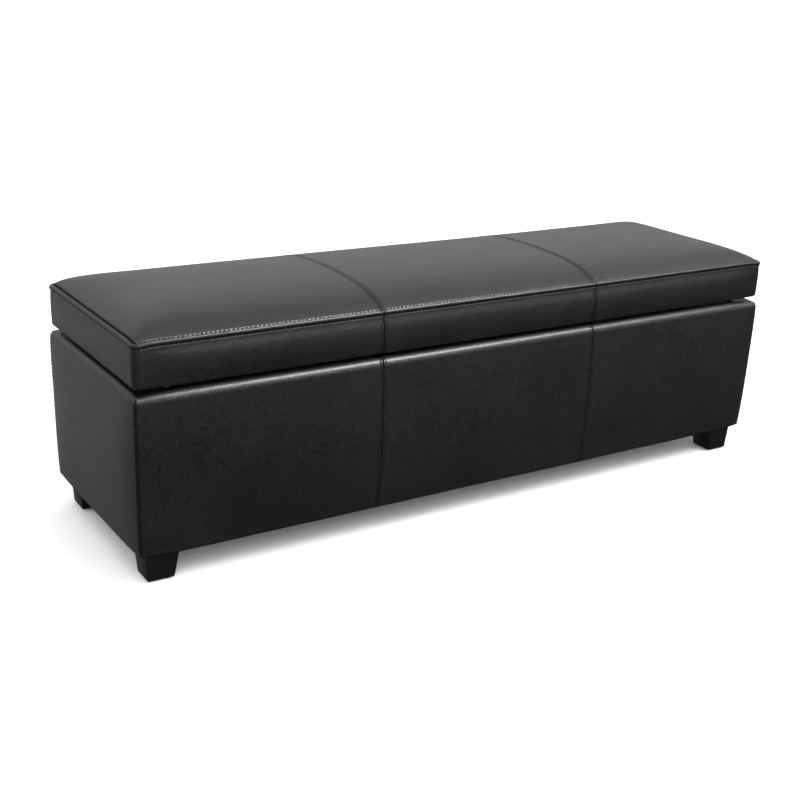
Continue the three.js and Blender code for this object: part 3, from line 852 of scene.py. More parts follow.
class Places:
    """For each point of a skin: its distances from the seams, and how far round the bench it is."""

    def __init__(self, skin):
        count = len(skin.points)
        rings = skin.count * len(skin.levels)
        self.cross = np.full(count, 1.0)
        self.corner = np.full(count, 1.0)
        self.edge = np.zeros(count)
        self.along = np.full(count, -1.0)
        self.round = np.zeros(count)
        self.along[:rings] = np.repeat(skin.levels, skin.count)
        for i, (side, place) in enumerate(skin.stations):
            points = slice(i, rings, skin.count)
            half = skin.half[0 if side in ("front", "back") else 1]
            self.round[points] = around(side, place, skin.half)
            self.corner[points] = half - abs(place)
            if side == "front":
                self.cross[points] = abs(abs(place) - SEAM_X)
        if skin.topped:
            x, y = np.meshgrid(skin.xs, skin.ys)
            gap_x, gap_y = skin.half[0] - np.abs(x), skin.half[1] - np.abs(y)
            self.cross[skin.top] = np.abs(np.abs(x) - SEAM_X)
            self.edge[skin.top] = np.minimum(gap_x, gap_y)
            inner = skin.top[1:-1, 1:-1]
            by_end = (gap_x < gap_y)[1:-1, 1:-1]
            front = np.where(y < 0, around("front", x, skin.half), around("back", x, skin.half))
            ends = np.where(x > 0, around("right", y, skin.half), around("left", y, skin.half))
            self.round[inner] = np.where(by_end, ends[1:-1, 1:-1], front[1:-1, 1:-1])
            self.along[inner] = -1.0


def ripple(places, length, seed):
    """Smooth random waves of about one length, between -1 and 1, along a line."""
    knots = np.random.default_rng(seed).uniform(-1, 1, int(np.max(places) / length) + 3)
    spot = np.clip(places / length, 0, len(knots) - 2)
    index = spot.astype(int)
    return knots[index] + (knots[index + 1] - knots[index]) * smooth_step(spot - index)


def undulation(points, length, seed):
    """Smooth random hills of about one length, between -1 and 1, over a surface."""
    return np.array([noise.noise(Vector(p) / length + Vector((seed, 0, 0))) for p in points])


def twin_needle(distance):
    """How high the leather stands beside a twin-needle seam, at distances from its middle."""
    doubled = 0.3 * (1 - smooth_step((distance / MM - 5.8) / 2.4))
    joint = -2.6 * hump(distance, 0.75 * MM)
    rows = -1.6 * hump(distance - STITCH_OFFSET, 0.75 * MM)
    return (doubled + joint + rows) * MM


def drawn_folds(skin, places):
    """Small folds that run from the top seam and the corners into the padding."""
    depth = bpy.context.scene.bench_sizes.pucker
    gather = ripple(places.round, 11 * MM, 3) + 0.6 * ripple(places.round, 6.5 * MM, 4)
    swing = 0.6 + 0.4 * ripple(places.round, 140 * MM, 5)
    on_top = places.along < 0
    reach = np.where(on_top, places.edge, np.maximum(places.along - RIDGE_STITCH, 0))
    near = np.exp(-reach / (15 * MM)) * smooth_step(reach / (3 * MM))
    folds = gather * swing * near * np.where(on_top, 0.35, 0.22)
    corner = hump(places.corner, 17 * MM) * (places.along > 9 * MM)
    creases = ripple(places.round, 5.2 * MM, 8) * corner * (0.4 + np.exp(-reach / (24 * MM)))
    return depth * (folds + 0.9 * creases)


def drag_lines(skin):
    """Long faint creases that fan out on the top from each of the lid's corners."""
    heights = np.zeros(len(skin.points))
    draws = np.random.default_rng(21)
    for sx in (-1, 1):
        for sy in (-1, 1):
            corner = np.array([sx * (HALF_LENGTH - 4 * MM), MIDDLE_Y + sy * (HALF_DEPTH - 4 * MM)])
            for _ in range(6):
                angle = draws.uniform(0.12, 1.45)
                start, length = draws.uniform(0.012, 0.03), draws.uniform(0.06, 0.17)
                bend = draws.uniform(-1.2, 1.2)
                ray = np.array([-sx * math.cos(angle), -sy * math.sin(angle)])
                gap = skin.points[:, :2] - corner
                far = gap @ ray
                off = gap @ np.array([-ray[1], ray[0]]) - bend * far * far
                share = np.clip((far - start) / length, 0, 1)
                fade = np.sin(np.pi * share) ** 1.5
                crease = hump(off, draws.uniform(1.8, 3.4) * MM)
                heights -= fade * crease * draws.uniform(0.05, 0.14) * MM
    top = skin.points[:, 2] > RIDGE_Z + 1 * MM
    return heights * top


def lid_relief(skin):
    """How far each point of the lid's skin stands out for its seams, bead, folds and slack."""
    places = Places(skin)
    sizes = bpy.context.scene.bench_sizes
    on_top = places.along < 0
    band = ~on_top
    bead = sizes.welt * np.sin(np.pi * np.clip(places.along / (9.2 * MM), 0, 1)) ** 0.8
    bead *= 1 + 0.07 * ripple(places.round, 9 * MM, 11)
    row = -0.8 * MM * hump(places.along - RIDGE_STITCH, 0.8 * MM)
    seam = -1.3 * MM * hump(np.where(on_top, places.edge, places.along * 1.8), 1.7 * MM)
    clear = smooth_step(np.where(on_top, places.edge / (6 * MM), (places.along - 8 * MM) / (4 * MM)))
    heights = np.where(band, bead + row, 0.0) + seam
    heights += twin_needle(places.cross) * (0.55 + 0.45 * clear)
    heights -= 0.5 * MM * hump(places.corner, 1.0 * MM) * (places.along > 12 * MM)
    heights += drawn_folds(skin, places) + drag_lines(skin)
    heights += 0.3 * MM * undulation(skin.points, 0.10, 2.0) * np.where(on_top, 1, 0.5)
    knob = hump(places.corner, 7 * MM) * hump(places.along - 5 * MM, 6 * MM) * (places.along >= 0)
    return heights + 0.3 * MM * knob


def box_relief(skin):
    """How far each point of the box's skin stands out for its seams, folds and slack."""
    places = Places(skin)
    z = skin.points[:, 2]
    face = smooth_step((places.along - COVER_RETURN) / (12 * MM))
    heights = twin_needle(places.cross) * (0.3 + 0.7 * face)
    corner = places.corner
    turn = np.where(skin.points[:, 1] < MIDDLE_Y, 3.4, 1.2) * MM
    heights -= turn * np.exp(-corner / (25 * MM)) * face
    heights += 1.2 * MM * (1 - np.exp(-corner / (30 * MM))) * face
    edge = -0.9 * MM * hump(corner, 1.0 * MM) - 0.4 * MM * hump(corner - STITCH_OFFSET, 1.3 * MM)
    edge += 0.4 * MM * (1 - smooth_step((corner / MM - 6.3) / 2.4))
    heights += edge * face
    near_rim = np.exp(-np.abs(z - (RIM_Z - RIM_ROUND)) / (20 * MM))
    gather = ripple(places.round, 16 * MM, 31) + 0.5 * ripple(places.round, 9 * MM, 32)
    low = np.exp(-np.maximum(z - BASE_Z - 8 * MM, 0) / (16 * MM))
    depth = bpy.context.scene.bench_sizes.pucker
    heights += depth * face * gather * (0.12 * near_rim + 0.25 * low)
    creases = ripple(places.round, 5.5 * MM, 33) * hump(corner, 14 * MM)
    heights += depth * 0.5 * creases * face
    return heights + 0.35 * MM * undulation(skin.points, 0.12, 7.0) * face


def calmed(move, coarse, rounds=8):
    """The same moves with the small wrinkles between neighbouring points smoothed away."""
    rings = coarse.count * len(coarse.levels)
    move = move.copy()
    for _ in range(rounds):
        ring = move[:rings].reshape(len(coarse.levels), coarse.count, 3)
        ring = (np.roll(ring, 1, axis=1) + 2 * ring + np.roll(ring, -1, axis=1)) / 4
        move[:rings] = ring.reshape(-1, 3)
        if coarse.topped:
            top = move[coarse.top]
            inner = (top[:-2, 1:-1] + top[2:, 1:-1] + top[1:-1, :-2] + top[1:-1, 2:]) / 8
            move[coarse.top[1:-1, 1:-1]] = inner + top[1:-1, 1:-1] / 2
    return move


def panel_swell(skin, coarse, sewn, name, swells):
    """The fine skin blown up by cloth simulation, each region to its padding's height."""
    move = calmed(inflate(name, coarse.points, coarse.quads, sewn, 25 * MM), coarse)
    rings = coarse.count * len(coarse.levels)
    region = np.zeros(len(coarse.points), int)
    region[rings:] = 1
    normals = coarse.normals(coarse.points)
    for number, swell in enumerate(swells):
        chosen = region == number
        most = np.max(np.sum(move[chosen] * normals[chosen], axis=1)) if chosen.any() else 0
        if most > 0:
            move[chosen] *= swell / most
    return skin.points + carried(move, coarse, skin)


def lid_skin():
    """The lid's finished skin and its points."""
    sizes = bpy.context.scene.bench_sizes
    skin, coarse = lid_grid(LID_GRID, True), lid_grid(LID_CLOTH, False)
    sewn = np.zeros(len(coarse.points))
    sewn[: coarse.count] = 1
    last = coarse.count * len(coarse.levels)
    under = int(np.sum(lid_profile().at(coarse.levels)[2] < LID_Z + 5 * MM))
    sewn[last - coarse.count * max(under, 3) : last] = 1
    top_swell = (CROWN_Z - RIDGE_Z) * (1 - sizes.crown)
    points = panel_swell(skin, coarse, sewn, "lid_cushion", (sizes.band_bulge, top_swell))
    gap_x = HALF_LENGTH - np.abs(points[:, 0])
    gap_y = HALF_DEPTH - np.abs(points[:, 1] - MIDDLE_Y)
    near = hump(np.hypot(gap_x, gap_y), CORNER_REACH)
    fullness = np.clip((points[:, 2] - RIDGE_Z) / (CROWN_Z - RIDGE_Z), 0, 1) ** 0.5
    points[:, 2] += UNEVEN_CROWN * fullness * smooth_step((0.35 - points[:, 0]) / 0.8)
    points[:, 2] -= CORNER_DROP * near * smooth_step((points[:, 2] - LID_Z) / (RIDGE_Z - LID_Z))
    return skin, points + skin.normals(points) * lid_relief(skin)[:, None]


def box_skin():
    """The box's finished skin and its points."""
    sizes = bpy.context.scene.bench_sizes
    skin, coarse = box_grid(BOX_GRID, True), box_grid(BOX_CLOTH, False)
    place_z = np.repeat(box_profile().at(coarse.levels)[2], coarse.count)
    along = np.repeat(coarse.levels, coarse.count)
    inside = along < COVER_RETURN + 34 * MM
    sewn = ((place_z < BASE_Z + 4 * MM) | inside).astype(float)
    points = panel_swell(skin, coarse, sewn, "box_cushion", (sizes.box_bulge,))
    drawn = np.repeat(np.interp(skin.levels, skin.profile.along, skin.profile.fall_y), skin.count)
    back = np.clip((points[:, 1] - MIDDLE_Y) / HALF_DEPTH, 0, 1)
    points[:, 1] += drawn * back * (1 - BACK_FALL / FRONT_FALL)
    return skin, points + skin.normals(points) * box_relief(skin)[:, None]


# ------------------------------------------------------------------ building blocks


def mesh_object(name, points, faces, edges=()):
    mesh = bpy.data.meshes.new(name)
    mesh.from_pydata(
        [tuple(map(float, p)) for p in points],
        [tuple(map(int, e)) for e in edges],
        [tuple(map(int, f)) for f in faces],
    )
    mesh.validate()
    piece = bpy.data.objects.new(name, mesh)
    bpy.context.scene.collection.objects.link(piece)
    return piece


def smooth(piece, angle=None):
    """Smooth shading, with the edges sharper than an angle in degrees kept sharp."""
    mesh = piece.data
    mesh.polygons.foreach_set("use_smooth", [True] * len(mesh.polygons))
    if angle is not None:
        mesh.set_sharp_from_angle(angle=math.radians(angle))
    return piece


def finished(piece, material, body, nodes=(), angle=None):
    """Gives a piece its material, puts it on the body it rides on and hides the nodes that it replaces."""
    piece.data.materials.clear()
    piece.data.materials.append(material)
    smooth(piece, angle)
    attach(piece, body)
    if nodes:
        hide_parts(*nodes)
    return piece


def shelled(piece, thickness, offset=-1.0):
    """Gives a sheet its thickness, on the side away from its face."""
    wall = piece.modifiers.new("thickness", "SOLIDIFY")
    wall.thickness = thickness
    wall.offset = offset
    wall.use_even_offset = False
    return piece


def turned(name, middle, outline, steps):
    """A solid of revolution. The outline is radius and height, from one pole to the other."""
    points, faces = [], []
    rings = [pair for pair in outline if pair[0] > 0]
    for radius, height in rings:
        for k in range(steps):
            angle = 2 * math.pi * k / steps
            points.append((radius * math.cos(angle), radius * math.sin(angle), height))
    for r in range(len(rings) - 1):
        for k in range(steps):
            j = (k + 1) % steps
            faces.append((r * steps + k, r * steps + j, (r + 1) * steps + j, (r + 1) * steps + k))
    faces.append(tuple(range(steps))[::-1])
    faces.append(tuple((len(rings) - 1) * steps + k for k in range(steps)))
    piece = mesh_object(name, [Vector(p) + Vector(middle) for p in points], faces)
    return outward(piece)


def outward(piece):
    """Turns every face of a closed piece outwards."""
    mesh = bmesh.new()
    mesh.from_mesh(piece.data)
    bmesh.ops.recalc_face_normals(mesh, faces=mesh.faces)
    mesh.to_mesh(piece.data)
    mesh.free()
    return piece


def block(name, corners_low, corners_high, edge=1 * MM, segments=2):
    """A bevelled block between two levels, each given by its lower and upper corner points."""
    mesh = bmesh.new()
    rings = []
    for (x0, y0, z), (x1, y1, _) in (corners_low, corners_high):
        rings.append([mesh.verts.new(p) for p in ((x0, y0, z), (x1, y0, z), (x1, y1, z), (x0, y1, z))])
    mesh.faces.new(rings[0][::-1])
    mesh.faces.new(rings[1])
    for k in range(4):
        j = (k + 1) % 4
        mesh.faces.new((rings[0][k], rings[0][j], rings[1][j], rings[1][k]))
    bmesh.ops.bevel(
        mesh, geom=list(mesh.edges), offset=edge, segments=segments, profile=0.5, affect="EDGES"
    )
    bmesh.ops.recalc_face_normals(mesh, faces=mesh.faces)
    data = bpy.data.meshes.new(name)
    mesh.to_mesh(data)
    mesh.free()
    piece = bpy.data.objects.new(name, data)
    bpy.context.scene.collection.objects.link(piece)
    return piece


def joined(name, pieces):
    """One mesh made of several, which are removed."""
    mesh = bmesh.new()
    for piece in pieces:
        mesh.from_mesh(piece.data)
        bpy.data.objects.remove(piece)
    data = bpy.data.meshes.new(name)
    mesh.to_mesh(data)
    mesh.free()
    whole = bpy.data.objects.new(name, data)
    bpy.context.scene.collection.objects.link(whole)
    return whole


# ------------------------------------------------------------------ repeated pieces, by geometry nodes


class Repeat(Finish):
    """A geometry node tree being put together, with named inputs."""

    def __init__(self, name):
        self.tree = bpy.data.node_groups.new(name, "GeometryNodeTree")
        self.tree.interface.new_socket("Geometry", in_out="INPUT", socket_type="NodeSocketGeometry")
        self.tree.interface.new_socket("Geometry", in_out="OUTPUT", socket_type="NodeSocketGeometry")
        self.entry = self.tree.nodes.new("NodeGroupInput")
        self.inputs = {}

    def input(self, name, kind):
        socket = self.tree.interface.new_socket(name, in_out="INPUT", socket_type=kind)
        self.inputs[name] = socket.identifier
        return Wire(self, self.entry.outputs[name])

    def given(self):
        return Wire(self, self.entry.outputs["Geometry"])

    def instances(self, points, item, turn, scale):
        """Puts the item on the points, as real geometry with its material."""
        item_node = self.add("GeometryNodeObjectInfo", {"transform_space": "ORIGINAL"}, {"Object": item})
        sockets = {"Points": points, "Instance": item_node["Geometry"], "Rotation": turn, "Scale": scale}
        placed = self.add("GeometryNodeInstanceOnPoints", None, sockets)["Instances"]
        real = self.add("GeometryNodeRealizeInstances", None, {"Geometry": placed})["Geometry"]
        finish = self.input("Material", "NodeSocketMaterial")
        done = self.add("GeometryNodeSetMaterial", None, {"Geometry": real, "Material": finish})["Geometry"]
        self.tree.nodes.new("NodeGroupOutput")
        self.tree.links.new(done.socket, self.tree.nodes[-1].inputs[0])
        return self


def seam_tree():
    """Items along every path of the given mesh, turned along it."""
    tree = Repeat("along_a_seam")
    pitch = tree.input("Pitch", "NodeSocketFloat")
    item = tree.input("Item", "NodeSocketObject")
    uneven = tree.input("Uneven", "NodeSocketFloat")
    path = tree.add("GeometryNodeMeshToCurve", None, {"Mesh": tree.given()})["Curve"]
    sockets = {"Curve": path, "Length": pitch}
    even = tree.add("GeometryNodeResampleCurve", {"mode": "LENGTH"}, sockets)["Curve"]
    tangent = tree.add("GeometryNodeInputTangent")["Tangent"]
    turn = tree.add("FunctionNodeAlignRotationToVector", {"axis": "X"}, {"Vector": tangent})["Rotation"]
    chance = tree.add("FunctionNodeRandomValue", {"data_type": "FLOAT"}, {"Seed": 17})
    draw = Wire(tree, chance.node.outputs[1])
    scale = tree.add("ShaderNodeCombineXYZ", None, {"X": 1 - draw * uneven, "Y": 1.0, "Z": 1.0})["Vector"]
    return tree.instances(even, item, turn, scale)


def line_tree():
    """Items along a straight line of evenly spaced places."""
    tree = Repeat("along_a_line")
    count = tree.input("Count", "NodeSocketInt")
    start = tree.input("Start", "NodeSocketVector")
    step = tree.input("Step", "NodeSocketVector")
    item = tree.input("Item", "NodeSocketObject")
    sockets = {"Count": count, "Start Location": start, "Offset": step}
    line = tree.add("GeometryNodeMeshLine", {"mode": "OFFSET"}, sockets)["Mesh"]
    return tree.instances(line, item, (0.0, 0.0, 0.0), (1.0, 1.0, 1.0))


def repeated(name, tree, base, **values):
    """The plain mesh that a tree makes from a base object and its inputs. The base is removed."""
    maker = base.modifiers.new("repeat", "NODES")
    maker.node_group = tree.tree
    for key, value in values.items():
        maker[tree.inputs[key]] = value
    evaluated = base.evaluated_get(bpy.context.evaluated_depsgraph_get())
    mesh = bpy.data.meshes.new_from_object(evaluated)
    mesh.name = name
    bpy.data.objects.remove(base)
    piece = bpy.data.objects.new(name, mesh)
    bpy.context.scene.collection.objects.link(piece)
    return piece


def in_line(name, item, material, **values):
    """Items at evenly spaced places, as one piece."""
    base = mesh_object("base", (), ())
    return repeated(name, line_tree(), base, Item=item, Material=material, **values)


def removed(*pieces):
    for piece in pieces:
        bpy.data.objects.remove(piece)


def thread_stitch():
    """One stitch's thread, lying along X and dipping into the leather at both ends."""
    sizes = bpy.context.scene.bench_sizes
    half, radius = sizes.stitch_length / 2, sizes.thread
    points, faces = [(-half, 0, -radius)], []
    rings = ((-0.86, 0.62, -0.55), (-0.4, 0.95, 0.0), (0.0, 1.0, 0.1), (0.4, 0.95, 0.0), (0.86, 0.62, -0.55))
    for place, width, height in rings:
        for k in range(6):
            angle = math.pi * k / 3
            y, z = radius * width * math.cos(angle), radius * (width * math.sin(angle) + height)
            points.append((half * place, y * 1.15, z))
    points.append((half, 0, -radius))
    last = len(points) - 1
    for k in range(6):
        j = (k + 1) % 6
        faces.append((0, 1 + j, 1 + k))
        for r in range(4):
            faces.append((1 + r * 6 + k, 1 + r * 6 + j, 7 + r * 6 + j, 7 + r * 6 + k))
        faces.append((last, 25 + k, 25 + j))
    return outward(mesh_object("one_stitch", points, faces))


def stitching(name, paths, material, body):
    """Every stitch along the given closed or open rows of points, as one piece."""
    sizes = bpy.context.scene.bench_sizes
    points, edges = [], []
    for row, closed in paths:
        first = len(points)
        points += list(row)
        edges += [(k, k + 1) for k in range(first, len(points) - 1)]
        if closed:
            edges.append((len(points) - 1, first))
    item = thread_stitch()
    values = {"Pitch": sizes.stitch_pitch, "Item": item, "Uneven": 0.14, "Material": material}
    piece = repeated(name, seam_tree(), mesh_object(name, points, (), edges), **values)
    removed(item)
    return finished(piece, material, body)


# ------------------------------------------------------------------ the pieces


def nearest(values, target):
    return int(np.argmin(np.abs(np.asarray(values) - target)))


def column(skin, side, place):
    """The points of the ring column on a side nearest a place along it."""
    matches = [i for i, (name, _) in enumerate(skin.stations) if name == side]
    chosen = min(matches, key=lambda i: abs(skin.stations[i][1] - place))
    return np.arange(len(skin.levels)) * skin.count + chosen


def top_loop(skin, inset):
    """The points of a closed row on the lid's top, about so far inside its seam."""
    left, right = nearest(skin.xs, skin.xs[0] + inset), nearest(skin.xs, skin.xs[-1] - inset)
    front, back = nearest(skin.ys, skin.ys[0] + inset), nearest(skin.ys, skin.ys[-1] - inset)
    loop = [skin.top[front, i] for i in range(left, right)]
    loop += [skin.top[j, right] for j in range(front, back)]
    loop += [skin.top[back, i] for i in range(right, left, -1)]
    loop += [skin.top[j, left] for j in range(back, front, -1)]
    return np.array(loop)


def leather_panel(name, skin, points, panels, body, nodes):
    """One sewn panel of a skin, with the leather's thickness."""
    chosen = skin.quads[np.isin(skin.panel, panels)]
    used, inverse = np.unique(chosen, return_inverse=True)
    piece = mesh_object(name, points[used], inverse.reshape(-1, 4))
    shelled(piece, bpy.context.scene.bench_sizes.cover)
    finished(piece, leather(), body, nodes)
    return piece


def lid_foam(skin, points):
    """The foam under the lid's cover, down to the board that it is glued on."""
    cover = bpy.context.scene.bench_sizes.cover + 0.3 * MM
    inner = points - skin.normals(points) * (cover + 0.9 * MM)
    inset = skin.profile.at(skin.levels)[3]
    side = inset < 12.5 * MM
    rings = int(np.sum(side))
    board_low, board_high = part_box("lid_board")
    outline = inner[(rings - 1) * skin.count : rings * skin.count]
    board_side = np.clip(outline, board_low - Vector((0.3 * MM,) * 3), board_high + Vector((0.3 * MM,) * 3))
    low, high = board_side.copy(), board_side.copy()
    low[:, 2] = outline[:, 2]
    high[:, 2] = board_high[2] + 0.3 * MM
    top = len(inner)
    everything = np.concatenate([inner, low, high])
    kept = (skin.quads < rings * skin.count) | (skin.quads >= len(skin.levels) * skin.count)
    quads = skin.quads[kept.all(axis=1)].tolist()
    loops = [range((rings - 1) * skin.count, rings * skin.count), range(top, top + skin.count)]
    loops.append(range(top + skin.count, top + 2 * skin.count))
    for upper, lower in zip(loops, loops[1:]):
        for i in range(skin.count):
            j = (i + 1) % skin.count
            quads.append((upper[i], lower[i], lower[j], upper[j]))
    faces = [tuple(q) for q in quads] + [tuple(loops[2])[::-1]]
    used = sorted({k for f in faces for k in f} | set(range(rings * skin.count)))
    place = {k: n for n, k in enumerate(used)}
    return mesh_object("lid_foam", everything[used], [[place[k] for k in f] for f in faces])


class LidLeather(bpy.types.Operator):
    """Make the lid's inflated leather panels, their foam and their stitching"""

    bl_idname = "bench.lid_leather"
    bl_label = "Lid Leather"

    def execute(self, context):
        skin, points = lid_skin()
        for third in PANELS:
            top = (f"top_leather_{third}", ["top_" + third], [f"top_cover_{third}"])
            band = (f"band_leather_{third}", ["front_" + third], [f"lid_front_band_{third}"])
            for name, panels, nodes in (top, band):
                leather_panel(name, skin, points, panels, "lid", nodes)
        for side in ("left", "right", "back"):
            leather_panel(f"band_leather_{side}_side", skin, points, [side], "lid", [f"lid_{side}_band"])
        foam_piece = finished(lid_foam(skin, points), foam(), "lid", ["seat_foam"])
        lifted = points + skin.normals(points) * 0.25 * MM
        row = nearest(skin.levels, RIDGE_STITCH)
        paths = [(lifted[row * skin.count : (row + 1) * skin.count], True)]
        paths.append((lifted[top_loop(skin, RIDGE_TOP_STITCH)], True))
        down = skin.levels > 1 * MM
        inside = slice(1, -1)
        for side in (-1, 1):
            for offset in (-STITCH_OFFSET, STITCH_OFFSET):
                place = side * SEAM_X + offset
                paths.append((lifted[column(skin, "front", place)[down]], False))
                paths.append((lifted[skin.top[inside, nearest(skin.xs, place)]], False))
        stitching("lid_stitches", paths, thread(), "lid")
        return {"FINISHED"}


class BoxLeather(bpy.types.Operator):
    """Make the box's padded leather faces and their stitching"""

    bl_idname = "bench.box_leather"
    bl_label = "Box Leather"

    def execute(self, context):
        skin, points = box_skin()
        for third in PANELS:
            nodes = [f"front_cover_{third}"] + (["front_padding"] if third == "centre" else [])
            leather_panel(f"front_leather_{third}", skin, points, ["front_" + third], "box", nodes)
        for side in ("left", "right"):
            nodes = [f"{side}_end_cover", f"{side}_end_padding"]
            leather_panel(f"end_leather_{side}", skin, points, [side], "box", nodes)
        leather_panel("back_leather", skin, points, ["back"], "box", ["back_cover", "back_padding"])
        lifted = points + skin.normals(points) * 0.25 * MM
        shown = skin.levels > COVER_RETURN + 12 * MM
        paths = []
        for side in (-1, 1):
            for offset in (-STITCH_OFFSET, STITCH_OFFSET):
                paths.append((lifted[column(skin, "front", side * SEAM_X + offset)[shown]], False))
        for side in ("front", "back", "left", "right"):
            half = HALF_LENGTH if side in ("front", "back") else HALF_DEPTH
            for sign in (-1, 1):
                rows = column(skin, side, sign * (half - STITCH_OFFSET))
                paths.append((lifted[rows[shown]], False))
        stitching("box_stitches", paths, thread(), "box")
        return {"FINISHED"}


class Feet(bpy.types.Operator):
    """Make the tapered wooden feet and their felt glides"""

    bl_idname = "bench.feet"
    bl_label = "Feet"

    def execute(self, context):
        for corner, sx, sy in CORNERS:
            low_box, high_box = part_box(f"foot_{corner}")
            outer, inner = 3 * MM, 9 * MM
            x0, x1, y0, y1 = low_box[0], high_box[0], low_box[1], high_box[1]
            shrink_x = (outer, inner) if sx < 0 else (inner, outer)
            shrink_y = (outer, inner) if sy < 0 else (inner, outer)
            lower = (x0 + shrink_x[0], y0 + shrink_y[0], low_box[2])
            lower_far = (x1 - shrink_x[1], y1 - shrink_y[1], low_box[2])
            upper, upper_far = (x0, y0, high_box[2]), (x1, y1, high_box[2])
            foot = block(f"foot_wood_{corner}", (lower, lower_far), (upper, upper_far), 2.2 * MM, 3)
            finished(foot, stained_wood(), "box", [f"foot_{corner}"], 40)
            pad_low, pad_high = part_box(f"foot_glide_{corner}")
            middle = centre(f"foot_glide_{corner}")
            radius, thick = (pad_high[0] - pad_low[0]) / 2, pad_high[2] - pad_low[2]
            outline = [(radius - 1 * MM, -thick / 2), (radius - 0.3 * MM, -thick / 2 + 0.3 * MM)]
            outline += [(radius, 0), (radius - 0.2 * MM, thick / 2)]
            pad = turned(f"felt_glide_{corner}", middle, outline, 40)
            finished(pad, felt(), "box", [f"foot_glide_{corner}"], 50)
        return {"FINISHED"}


class PianoHinge(bpy.types.Operator):
    """Make the piano hinge's leaves, knuckles and screws"""

    bl_idname = "bench.piano_hinge"
    bl_label = "Piano Hinge"

    def execute(self, context):
        sizes = bpy.context.scene.bench_sizes
        low_box, high_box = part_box("piano_hinge_box_leaf")
        length = high_box[0] - low_box[0]
        pitch = length / KNUCKLES
        radius, bore = (high_box[2] - low_box[2]) / 2, 1.9 * MM
        tube = turned_tube("one_knuckle", radius, bore, pitch - 0.6 * MM)
        steel = zinc_steel()
        for leaf, body, first, up in (("box", "box", 0, 1), ("lid", "lid", 1, -1)):
            edge_z = low_box[2] if up > 0 else high_box[2] - LEAF
            corner = (low_box[0], low_box[1], edge_z)
            far = (high_box[0], HINGE.y - bore - 0.2 * MM, edge_z)
            top_corner = (*corner[:2], edge_z + LEAF)
            top_far = (*far[:2], edge_z + LEAF)
            plate = block("plate", (corner, far), (top_corner, top_far), 0.3 * MM, 2)
            start = Vector((low_box[0] + pitch * (first + 0.5), HINGE.y, HINGE.z))
            count = (KNUCKLES + 1 - first) // 2
            values = {"Count": count, "Start": start, "Step": Vector((2 * pitch, 0, 0))}
            row = in_line("row", tube, steel, **values)
            piece = joined(f"hinge_leaf_{leaf}", [plate, row])
            finished(piece, steel, body, [f"piano_hinge_{leaf}_leaf"], 35)
            screw = screw_head(up)
            gap = length / sizes.hinge_screws
            face_z = edge_z + (LEAF if up > 0 else 0)
            start = Vector((low_box[0] + gap / 2, low_box[1] + 11 * MM, face_z))
            values = {"Count": sizes.hinge_screws, "Start": start, "Step": Vector((gap, 0, 0))}
            row = in_line(f"hinge_screws_{leaf}", screw, steel, **values)
            finished(row, steel, body, (), 35)
            removed(screw)
        removed(tube)
        return {"FINISHED"}


def turned_tube(name, radius, bore, length):
    """A chamfered tube along X about the origin."""
    half, chamfer = length / 2, 0.4 * MM
    outline = [
        (-half, bore),
        (-half, radius - chamfer),
        (-half + chamfer, radius),
        (half - chamfer, radius),
        (half, radius - chamfer),
        (half, bore),
    ]
    steps, points, faces = 20, [], []
    for x, r in outline:
        for k in range(steps):
            angle = 2 * math.pi * k / steps
            points.append((x, r * math.cos(angle), r * math.sin(angle)))
    rings = len(outline)
    for n in range(rings):
        for k in range(steps):
            j, m = (k + 1) % steps, (n + 1) % rings
            faces.append((n * steps + k, n * steps + j, m * steps + j, m * steps + k))
    return outward(mesh_object(name, points, faces))


def screw_head(up):
    """A countersunk head with a cross recess, facing up or down."""
    steps, points, faces = 16, [], []
    round_head = ((3.6, 3.6, -0.5), (3.6, 3.6, 0.15), (3.1, 3.1, 0.38), (1.7, 1.7, 0.5))
    recess = ((1.5, 0.45, 0.45), (1.1, 0.35, -0.3))
    for arm, between_arms, height in round_head + recess:
        for k in range(steps):
            angle = 2 * math.pi * k / steps
            radius = arm if k % 4 == 0 else between_arms
            points.append((radius * MM * math.cos(angle), radius * MM * math.sin(angle), height * MM * up))
    for n in range(5):
        for k in range(steps):
            j = (k + 1) % steps
            faces.append((n * steps + k, n * steps + j, (n + 1) * steps + j, (n + 1) * steps + k))
    faces.append(tuple(range(steps))[::-1])
    faces.append(tuple(range(5 * steps, 6 * steps)))
    return outward(mesh_object("one_screw", points, faces))


